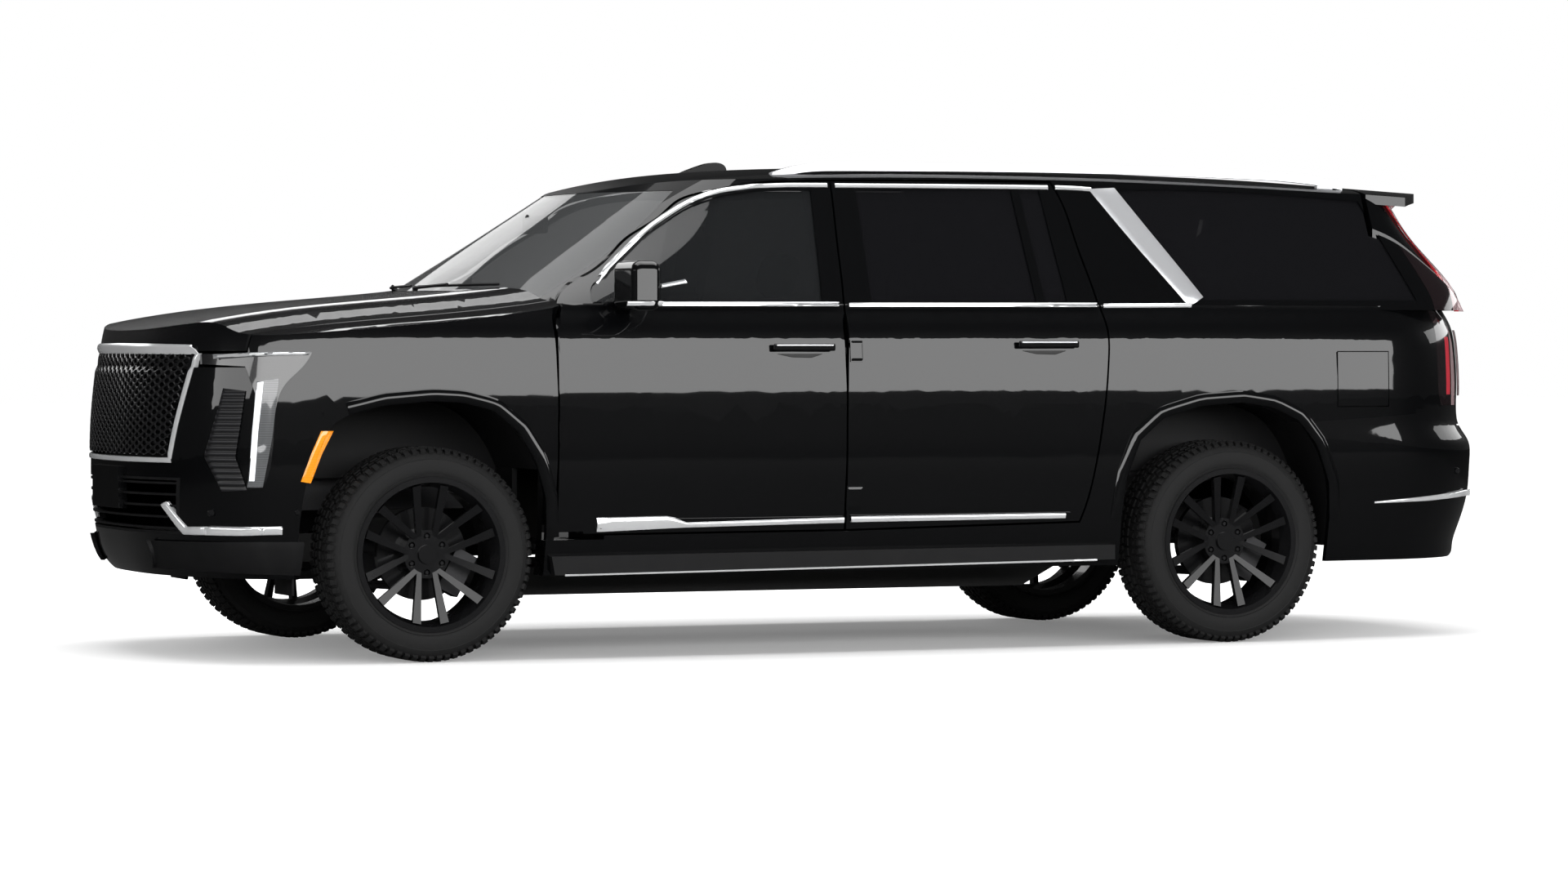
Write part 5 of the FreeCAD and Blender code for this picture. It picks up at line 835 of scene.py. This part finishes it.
for name, first, second, finish, proud in lamp_panels:
    pair(name, side_line(first), side_line(second), finish, "root", corner_skin, proud=proud)

# Side markers: a ribbed amber lens clipped into the lip of each front wheel opening, with a
# small lamp behind it.

amber = Finish("amber lens")
amber_ribs = amber.ribs(70.0)
amber.shade(Base_Color=amber.mix(amber_ribs, (0.55, 0.16, 0.004), (0.86, 0.32, 0.012)),
            Roughness=0.18, Emission_Color=(1.0, 0.34, 0.01, 1.0), Emission_Strength=0.35,
            Coat_Weight=1.0, Coat_Roughness=0.03)
pair("side_marker", side_line([(-0.5098, 0.3547), (-0.4700, 0.4120), (-0.4360, 0.4523)]),
     side_line([(-0.4747, 0.3515), (-0.4300, 0.4080), (-0.3840, 0.4522)]), amber, "root",
     corner_skin, proud=0.004, count=16, rows=4, crown=0.002)

# Front bumper trim: a plated strip that kicks down beside the lower grille and runs round the
# corner, and a dark moulded valance along the foot, both clipped to the bumper.

TURN_PLACE, STRIP_LOW, STRIP_HIGH = 0.720, 0.2500, 0.2665
turn_x = nose(HALF_WIDE * TURN_PLACE, TALL * 0.258)
pair("bumper_kick", front_line([(-0.493, 0.3060), (-0.604, 0.2490), (-TURN_PLACE, STRIP_LOW)]),
     front_line([(-0.530, 0.3130), (-0.631, 0.2650), (-TURN_PLACE, STRIP_HIGH)]), chrome, "root", nose,
     proud=0.007, deep=0.010, count=30, rows=3, front=True, crown=0.003)
pair("bumper_strip",
     [(turn_x, TALL * STRIP_LOW)] + side_line([(-0.7200, STRIP_LOW), (-0.5730, 0.2520)]),
     [(turn_x, TALL * STRIP_HIGH)] + side_line([(-0.7200, STRIP_HIGH), (-0.5746, 0.2680)]),
     chrome, "root", corner_skin, proud=0.007, count=40, rows=3, crown=0.003)
pair("valance", side_line([(-0.9300, 0.1800), (-0.7000, 0.1760), (-0.4960, 0.1720)]),
     side_line([(-0.9650, 0.2350), (-0.7000, 0.2380), (-0.4900, 0.2380)]), plastic, "root",
     corner_skin, proud=0.003, count=30, rows=4)

# Wheel opening lips: the rolled edge of the steel panels, painted with them, and dark plastic
# wind deflectors screwed to the body ahead of the front tyres.

LIP_INNER, LIP_OUTER = 0.001, 0.050
lips = (
    ("front", ("wings", "front_bumper"), [
        (-0.3300, 0.4830), (-0.1900, 0.5010), (-0.0027, 0.5090), (0.0337, 0.5060), (0.0700, 0.4900),
        (0.1000, 0.4480), (0.1210, 0.3900), (0.1335, 0.3181), (0.1350, 0.2400)]),
    ("rear", ("body_side_left", "rear_bumper"), [
        (0.8545, 0.2600), (0.8610, 0.3500), (0.8770, 0.4224), (0.9080, 0.4680), (0.9578, 0.4923),
        (1.0300, 0.4985), (1.1310, 0.4880), (1.2180, 0.4600), (1.2800, 0.4074), (1.3230, 0.3300),
        (1.3290, 0.2500)]))
for where, names, line in lips:
    path = even_points(side_line(line), 48)
    pair("arch_lip_" + where, offset_line(path, LIP_INNER), offset_line(path, LIP_OUTER), paint,
         "root", skin(*names), proud=0.004, deep=0.004, count=47, rows=6, crown=0.008)
for side, name in ((-1, "left"), (1, "right")):
    near_y, far_y = sorted((side * 0.620, side * 0.850))
    block("tyre_deflector_" + name, (along(-0.512), near_y, 0.255), (along(-0.500), far_y, 0.345),
          plastic, "root", 0.004)

# Parking sensors: small round heads of gloss plastic, pushed into holes in both bumpers and held
# by clips behind them.


def disc(name, centre, radius, thick, finish, body, sides=24):
    """A flat round piece whose face looks to the left of the car."""
    rings = [(0.0, 0.0), (radius * 0.8, 0.0), (radius, thick * 0.4), (radius, thick), (0.0, thick)]
    vertices, faces = [], []
    for ring_radius, deep in rings:
        for k in range(sides):
            turn = 2 * math.pi * k / sides
            vertices.append((centre[0] + ring_radius * math.cos(turn), centre[1] + deep,
                             centre[2] + ring_radius * math.sin(turn)))
    for i in range(len(rings) - 1):
        for k in range(sides):
            m = (k + 1) % sides
            faces.append((i * sides + k, i * sides + m, (i + 1) * sides + m, (i + 1) * sides + k))
    return closed_mesh(name, vertices, faces, finish, body)


SENSOR_RADIUS, SENSOR_DEEP, SENSOR_PROUD = 0.013, 0.012, 0.002
rear_skin = skin("rear_bumper", "body_side_left", "tailgate", "tail_lamps")
for name, s, h, surface in (("sensor_front", -0.8080, 0.2935, corner_skin),
                            ("sensor_corner", -0.5170, 0.2960, corner_skin),
                            ("sensor_rear", 1.8200, 0.3500, rear_skin)):
    depth = reach(surface, along(s), TALL * h, False)
    head = disc(name + "_left", (along(s), depth - SENSOR_PROUD, TALL * h), SENSOR_RADIUS, SENSOR_DEEP,
                gloss_plastic, "root")
    opposite(head, "root", name + "_right")

# Tail: tall thin lamps of moulded lens plastic, bolted into the rear corners and carried on over
# the tailgate's edge, and a plated strip clipped to each end of the bumper.

red_lens = Finish("red lamp lens")
red_ribs = red_lens.ribs(60.0)
red_lens.shade(Base_Color=red_lens.mix(red_ribs, (0.22, 0.010, 0.014), (0.50, 0.030, 0.040)),
               Roughness=0.10, Emission_Color=(1.0, 0.05, 0.06, 1.0), Emission_Strength=0.12,
               Coat_Weight=1.0, Coat_Roughness=0.02)
BLADE_FRONT = 2.640
BAR_FRONT, BAR_BACK, BAR_FOOT, BAR_HEAD = 2.595, 2.628, 1.000, 1.240
lamp_cover = Finish("tail lamp cover")
cover_x, _, cover_z = lamp_cover.axes()
pale_blade = cover_x > BLADE_FRONT
red_bar = (cover_x > BAR_FRONT) * (cover_x < BAR_BACK) * (cover_z < BAR_HEAD) * (cover_z > BAR_FOOT)
smoke_and_blade = lamp_cover.mix(pale_blade, (0.010, 0.006, 0.007), (0.44, 0.31, 0.32))
cover_wave = lamp_cover.noise(40.0)
lamp_cover.shade(Base_Color=lamp_cover.mix(red_bar, smoke_and_blade, (0.62, 0.035, 0.055)),
                 Roughness=0.10 + cover_wave * 0.04, Coat_Weight=1.0, Coat_Roughness=0.02)
finish_nodes(lamp_cover, "tail_lamps")
blush_lens = Finish("pale tail lens")
blush_wave = blush_lens.noise(50.0)
blush_lens.shade(Base_Color=(0.46, 0.34, 0.35, 1.0), Roughness=0.10 + blush_wave * 0.05,
                 Coat_Weight=1.0, Coat_Roughness=0.02)
tail_lights = (
    ("tail_light_high", [(1.6380, 0.9180), (1.7490, 0.8100), (1.8500, 0.6900)],
     [(1.6500, 0.9180), (1.7620, 0.8100), (1.8640, 0.6900)], red_lens),
    ("tail_blade", [(1.6510, 0.9180), (1.7630, 0.8100), (1.8650, 0.6900)],
     [(1.6700, 0.9180), (1.7820, 0.8100), (1.8820, 0.6900)], blush_lens),
    ("tail_light_low", [(1.8520, 0.6500), (1.8620, 0.5100)],
     [(1.8800, 0.6500), (1.8880, 0.5100)], blush_lens))
gate_side = skin("tailgate")
for name, first, second, finish in tail_lights:
    pair(name, side_line(first), side_line(second), finish, "tailgate", gate_side,
         proud=0.003, rows=3)
pair("rear_strip", side_line([(1.4870, 0.2850), (1.6900, 0.2880), (1.8960, 0.2960)]),
     side_line([(1.4870, 0.2890), (1.6900, 0.2985), (1.8960, 0.3090)]), chrome, "root", rear_skin,
     proud=0.005, count=30, rows=3, crown=0.002)

# Back of the tailgate: a red stop lamp under the roof's lip, and a bare recess for a number
# plate with a plated grip above it, all bolted on from inside.

gate_back = skin("tailgate", "tailgate_glass", "rear_bumper")
BEHIND, BACK_SPREAD = 4.0, 0.01


def from_behind(y, z):
    """The outermost point of the tail, turned about so that a panel can lie on it."""
    for dy, dz in ((0, 0), (BACK_SPREAD, 0), (-BACK_SPREAD, 0), (0, BACK_SPREAD), (0, -BACK_SPREAD)):
        point = gate_back.ray_cast(Vector((BEHIND, y + dy, z + dz)), Vector((-1, 0, 0)))[0]
        if point is not None:
            return -point[0]
    return None


for name, half_wide, low_z, high_z, finish, proud, crown in (
        ("stop_lamp", 0.210, 1.8300, 1.8420, red_lens, 0.003, 0.0),
        ("plate_recess", 0.270, 0.9650, 1.1250, plastic, 0.002, 0.0),
        ("gate_grip", 0.330, 1.1450, 1.1650, chrome, 0.007, 0.003)):
    piece = panel(name, [(-half_wide, low_z), (half_wide, low_z)],
                  [(-half_wide, high_z), (half_wide, high_z)], finish, "tailgate", from_behind,
                  proud=proud, deep=0.002, count=32, rows=3, front=True, crown=crown)
    piece.data.transform(Matrix.Scale(-1, 4, Vector((1, 0, 0))))
    piece.data.flip_normals()

# Wheels: moulded rubber tyres with cut tread blocks, on gloss black alloy rims. Six steel nuts
# hold each rim to its hub.

rubber = Finish("tyre rubber")
scuff = rubber.noise(60.0, 4.0)
rubber.shade(Base_Color=rubber.mix(scuff, (0.0085, 0.0085, 0.0088), (0.016, 0.016, 0.016)),
             Roughness=0.60 + scuff * 0.2, Specular_IOR_Level=0.25,
             Normal=rubber.bump(rubber.noise(500.0), 0.2, 0.0005))
alloy = Finish("gloss black alloy")
alloy_wave = alloy.noise(25.0)
alloy.shade(Base_Color=(0.006, 0.006, 0.0065, 1.0), Roughness=0.24 + alloy_wave * 0.05,
            Specular_IOR_Level=0.15, Coat_Weight=0.35, Coat_Roughness=0.05)
nut_black = Finish("black wheel nut")
nut_wave = nut_black.noise(90.0)
nut_black.shade(Base_Color=(0.012, 0.012, 0.013, 1.0), Metallic=0.6, Roughness=0.25 + nut_wave * 0.1)


def tread_group():
    """Geometry nodes: blocks set round a ring, each turned to face outward."""
    group, add, wire, given, result = new_group(
        "tread ring", ("Count", "Int"), ("Radius", "Float"), ("Size", "Vector"),
        ("Place", "Vector"), ("Turn", "Vector"), ("Lean", "Vector"), ("Finish", "Material"))
    circle, cube = add("GeometryNodeMeshCircle"), add("GeometryNodeMeshCube")
    lean, turn = add("GeometryNodeTransform"), add("GeometryNodeTransform")
    where, aim = add("GeometryNodeInputPosition"), add("FunctionNodeAlignRotationToVector")
    points = add("GeometryNodeInstanceOnPoints")
    aim.axis = "X"
    wire(given.outputs["Count"], circle.inputs["Vertices"])
    wire(given.outputs["Radius"], circle.inputs["Radius"])
    wire(given.outputs["Size"], cube.inputs["Size"])
    wire(cube.outputs["Mesh"], lean.inputs["Geometry"])
    wire(given.outputs["Lean"], lean.inputs["Rotation"])
    wire(where.outputs["Position"], aim.inputs["Vector"])
    wire(circle.outputs["Mesh"], points.inputs["Points"])
    wire(lean.outputs["Geometry"], points.inputs["Instance"])
    wire(aim.outputs["Rotation"], points.inputs["Rotation"])
    wire(points.outputs["Instances"], turn.inputs["Geometry"])
    wire(given.outputs["Turn"], turn.inputs["Rotation"])
    wire(given.outputs["Place"], turn.inputs["Translation"])
    real_and_painted(add, wire, turn.outputs["Geometry"], given, result)
    return group


TYRE_RADIUS, BLOCK_TALL = 0.410, 0.0085
SPIN = 96
# Half of the tyre's section without its blocks: axial place and radius, from the bead outward.
section = [(0.1285, 0.2965), (0.1322, 0.3020), (0.1345, 0.3060), (0.1325, 0.3085), (0.1352, 0.3130),
           (0.1366, 0.3220), (0.1376, 0.3300), (0.1376, 0.3400), (0.1368, 0.3520), (0.1350, 0.3620),
           (0.1362, 0.3645), (0.1335, 0.3700), (0.1250, 0.3830), (0.1130, 0.3935), (0.1000, 0.3985),
           (0.0600, 0.4010), (0.0, 0.4015)]
ring = section + [(-y, r) for y, r in section[-2::-1]]
tyre_vertices, tyre_faces = [], []
for k in range(SPIN):
    turn = 2 * math.pi * k / SPIN
    tyre_vertices += [(r * math.cos(turn), y, r * math.sin(turn)) for y, r in ring]
    here, onward = k * len(ring), (k + 1) % SPIN * len(ring)
    for i in range(len(ring)):
        j = (i + 1) % len(ring)
        tyre_faces.append((here + i, here + j, onward + j, onward + i))
carcass = bpy.data.meshes.new("carcass")
carcass.from_pydata(tyre_vertices, [], tyre_faces)
tyre_shape = bmesh.new()
tyre_shape.from_mesh(carcass)

# Rows of blocks: how many, how wide and long, how far from the middle, and how much they lean.
tread = tread_group()
UPRIGHT = (math.pi / 2, 0.0, 0.0)
CROWN_FALL, BLOCK_SINK = 0.012, 0.0004
for count, wide, long, y, lean in (
        (64, 0.024, 0.031, 0.0, 0.00), (80, 0.024, 0.022, 0.045, 0.35),
        (80, 0.024, 0.022, -0.045, -0.35), (76, 0.028, 0.022, 0.084, 0.25),
        (76, 0.028, 0.022, -0.084, -0.25)):
    tyre_shape.from_mesh(nodes_mesh(
        "tread row", tread, Count=count, Size=(BLOCK_TALL, long, wide), Place=(0.0, y, 0.0),
        Radius=TYRE_RADIUS - BLOCK_TALL / 2 - BLOCK_SINK - abs(y) * CROWN_FALL, Turn=UPRIGHT,
        Lean=(lean, 0.0, 0.0), Finish=rubber.material))
for side in (-1, 1):
    tyre_shape.from_mesh(nodes_mesh(
        "shoulder row", tread, Count=76, Size=(0.0215, 0.0200, 0.026),
        Place=(0.0, side * 0.1135, 0.0), Radius=0.3925, Turn=UPRIGHT,
        Lean=(0.0, side * 0.62, 0.0), Finish=rubber.material))
bmesh.ops.recalc_face_normals(tyre_shape, faces=tyre_shape.faces)
tyre_mesh = bpy.data.meshes.new("tyre")
tyre_shape.to_mesh(tyre_mesh)
tyre_shape.free()
tyre_mesh.materials.clear()
tyre_mesh.materials.append(rubber.material)
for polygon in tyre_mesh.polygons:
    polygon.material_index = 0
tyre_mesh.shade_smooth()
tyre_mesh.set_sharp_from_angle(angle=math.radians(35))

RIM_HALF, DISH, HUB_SET = 0.131, 0.012, 0.046
HUB_FACE = RIM_HALF - DISH - HUB_SET
NUTS, NUT_CIRCLE = 6, 0.06985
NUT_RINGS = ((-0.016, 0.0095), (0.006, 0.0105), (0.010, 0.0070))
for end in ("front", "rear"):
    for side_name, side in (("left", -1), ("right", 1)):
        corner = "%s_%s" % (end, side_name)
        low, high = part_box("tyre_" + corner)
        centre = [(low[i] + high[i]) / 2 for i in range(3)]
        mesh = tyre_mesh.copy()
        mesh.transform(Matrix.Translation(centre))
        worn = stand("tyre_%s_worn" % corner, mesh, "wheel_" + corner)
        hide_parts("tyre_" + corner)
        finish_nodes(rubber, "tyre_" + corner)
        finish_nodes(alloy, "rim_" + corner)
        face_y = centre[1] + side * (HUB_FACE + 0.001)
        vertices, faces = [], []
        for k in range(NUTS):
            turn = 2 * math.pi * (k + 0.5) / NUTS
            nut_x = centre[0] + NUT_CIRCLE * math.cos(turn)
            nut_z = centre[2] + NUT_CIRCLE * math.sin(turn)
            start = len(vertices)
            for deep, radius in NUT_RINGS:
                vertices += [(nut_x + radius * math.cos(math.pi * m / 3),
                              face_y + side * (deep - 0.010),
                              nut_z + radius * math.sin(math.pi * m / 3)) for m in range(6)]
            for row in (start, start + 6):
                faces += [(row + m, row + (m + 1) % 6, row + 6 + (m + 1) % 6, row + 6 + m)
                          for m in range(6)]
            faces += [tuple(start + m for m in range(6)), tuple(start + 12 + m for m in range(6))]
        closed_mesh("wheel_nuts_" + corner, vertices, faces, nut_black, "wheel_" + corner, False)

# Under the body: welded frame rails and exhaust with a black coating, and raw cast axle parts,
# knuckles and engine, bolted together.

coated = Finish("frame coating")
coat_grain = coated.noise(160.0, 3.0)
coated.shade(Base_Color=coated.mix(coat_grain, (0.006, 0.006, 0.006), (0.012, 0.012, 0.012)),
             Roughness=0.55, Normal=coated.bump(coat_grain, 0.2, 0.001))
cast = Finish("raw casting")
cast_grain = cast.noise(240.0, 4.0)
cast.shade(Base_Color=cast.mix(cast_grain, (0.045, 0.045, 0.047), (0.075, 0.075, 0.078)),
           Metallic=0.8, Roughness=0.50 + cast_grain * 0.1,
           Normal=cast.bump(cast_grain, 0.3, 0.001))
finish_nodes(coated, "chassis", "exhaust")
finish_nodes(cast, "engine", "running_gear", "knuckle_left", "knuckle_right")

# The cabin: hide-covered foam seats sewn in upright channels over their frames, a padded
# dashboard and wheel in the same hide, and a carpet laid on the floor.

hide = Finish("soft hide")
crease = hide.noise(420.0, 4.0)
hide.shade(Base_Color=hide.mix(hide.noise(6.0), (0.018, 0.017, 0.017), (0.030, 0.029, 0.028)),
           Roughness=0.45 + crease * 0.15, Normal=hide.bump(crease, 0.3, 0.0006))
carpet = Finish("floor carpet")
pile = carpet.noise(900.0, 4.0)
carpet.shade(Base_Color=carpet.mix(pile, (0.006, 0.006, 0.007), (0.016, 0.016, 0.017)),
             Roughness=0.95, Normal=carpet.bump(pile, 0.6, 0.003))
finish_nodes(hide, "seats", "dashboard", "steering_wheel")
finish_nodes(carpet, "floor")
VOXEL = 0.016
CHANNEL, CHANNEL_SHIFT, PUFF, OVERLAY = 0.085, 0.0425, 0.004, 0.0045
seat = stand("seat_cushions", nodes["seats"].data.copy())
even = seat.modifiers.new("even", "REMESH")
even.mode, even.voxel_size = "VOXEL", VOXEL
relax = seat.modifiers.new("soft", "SMOOTH")
relax.factor, relax.iterations = 0.5, 6
graph = bpy.context.evaluated_depsgraph_get()
foam = bpy.data.meshes.new_from_object(seat.evaluated_get(graph))
seat.modifiers.clear()
seat.data = foam
foam.materials.clear()
foam.materials.append(hide.material)
for polygon in foam.polygons:
    polygon.material_index = 0
normals = [v.normal.copy() for v in foam.vertices]
for v, normal in zip(foam.vertices, normals):
    wave = abs(math.sin(math.pi * (v.co.y + CHANNEL_SHIFT) / CHANNEL))
    v.co += normal * (PUFF * (wave ** 0.5 - 1.0) + OVERLAY)
foam.shade_smooth()
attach(seat, "root")
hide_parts("seats")

# The studio: a pale floor that keeps the car's shadow, a white surround that only the camera
# and the glass see, soft lamps overhead and at the sides, and the camera.

REACH = 80.0
floor_mesh = bpy.data.meshes.new("studio_floor")
floor_mesh.from_pydata([(-REACH, -REACH, 0), (REACH, -REACH, 0), (REACH, REACH, 0),
                        (-REACH, REACH, 0)], [], [(0, 1, 2, 3)])
stand("studio_floor", floor_mesh)
FLOOR_PALE, FLOOR_MIRRORED = (0.85, 0.85, 0.85), (0.07, 0.07, 0.07)
FADE_NEAR, FADE_FAR, GLOW_NEAR = 0.9, 3.2, 0.16
pale = Finish("studio floor")
sight = pale.node("ShaderNodeLightPath")
camera_sees, gloss_sees = pale.out(sight, 0), pale.out(sight, 3)
floor_x, floor_y, _ = pale.axes()
away = (floor_x * floor_x * 0.35 + floor_y * floor_y) ** 0.5
glow = pale.out(pale.node("ShaderNodeMapRange", {"interpolation_type": "SMOOTHSTEP"}, Value=away,
                          From_Min=FADE_NEAR, From_Max=FADE_FAR, To_Min=GLOW_NEAR, To_Max=1.0))
pale.shade(Base_Color=pale.mix(gloss_sees, FLOOR_PALE, FLOOR_MIRRORED), Roughness=0.95,
           Specular_IOR_Level=0.0, Emission_Strength=1.0,
           Emission_Color=pale.mix(camera_sees * glow, (0.0, 0.0, 0.0), (1.0, 1.0, 1.0)))
floor_mesh.materials.append(pale.material)

ROOM, ROOM_IN_GLOSS = 0.12, 0.04
world = bpy.data.worlds.new("studio")
bpy.context.scene.world = world
world.use_nodes = True
room = world.node_tree
background = room.nodes["Background"]
path = room.nodes.new("ShaderNodeLightPath")
camera_ray, glossy_ray, glass_ray = (Wire(room, path.outputs[i]) for i in (0, 3, 6))
level = camera_ray.larger(glass_ray) * (1.0 - ROOM) + ROOM - glossy_ray * (ROOM - ROOM_IN_GLOSS)
background.inputs[0].default_value = (1.0, 1.0, 1.0, 1.0)
room.links.new(level.socket, background.inputs[1])


def softbox(name, place, aim, wide, tall, radiance):
    """A rectangular lamp of the given brightness, turned to face a point."""
    data = bpy.data.lights.new(name, "AREA")
    data.shape, data.size, data.size_y = "RECTANGLE", wide, tall
    data.energy = radiance * math.pi * wide * tall
    lamp = bpy.data.objects.new(name, data)
    lamp.location = place
    lamp.rotation_euler = (Vector(aim) - Vector(place)).to_track_quat("-Z", "Y").to_euler()
    lamp.visible_camera = False
    bpy.context.scene.collection.objects.link(lamp)


softbox("left strip", (0.0, -9.0, 2.75), (0.0, 0.0, 1.4), 22.0, 2.9, 4.8)
softbox("right strip", (-3.4, 9.0, 4.6), (-3.4, 0.0, 1.2), 10.0, 2.4, 2.1)
softbox("front box", (-11.0, -3.0, 2.6), (0.0, 0.0, 1.0), 8.0, 1.4, 3.6)
softbox("rear box", (11.0, 1.0, 3.6), (0.0, 0.0, 1.0), 7.0, 2.0, 2.2)
softbox("overhead", (0.0, 0.0, 7.0), (0.0, 0.0, 0.0), 10.0, 6.0, 3.2)

CAMERA_PLACE, CAMERA_PITCH, CAMERA_TURN = (-7.9638, -19.1678, 1.2091), 90.0 - 1.1004, -22.497
camera = bpy.data.cameras.new("camera")
camera.sensor_width = 36.0
camera.lens = 115.74
camera_object = bpy.data.objects.new("camera", camera)
camera_object.location = CAMERA_PLACE
camera_object.rotation_euler = (math.radians(CAMERA_PITCH), 0.0, math.radians(CAMERA_TURN))
bpy.context.scene.collection.objects.link(camera_object)
bpy.context.scene.camera = camera_object
bpy.context.scene.view_settings.view_transform = "Standard"
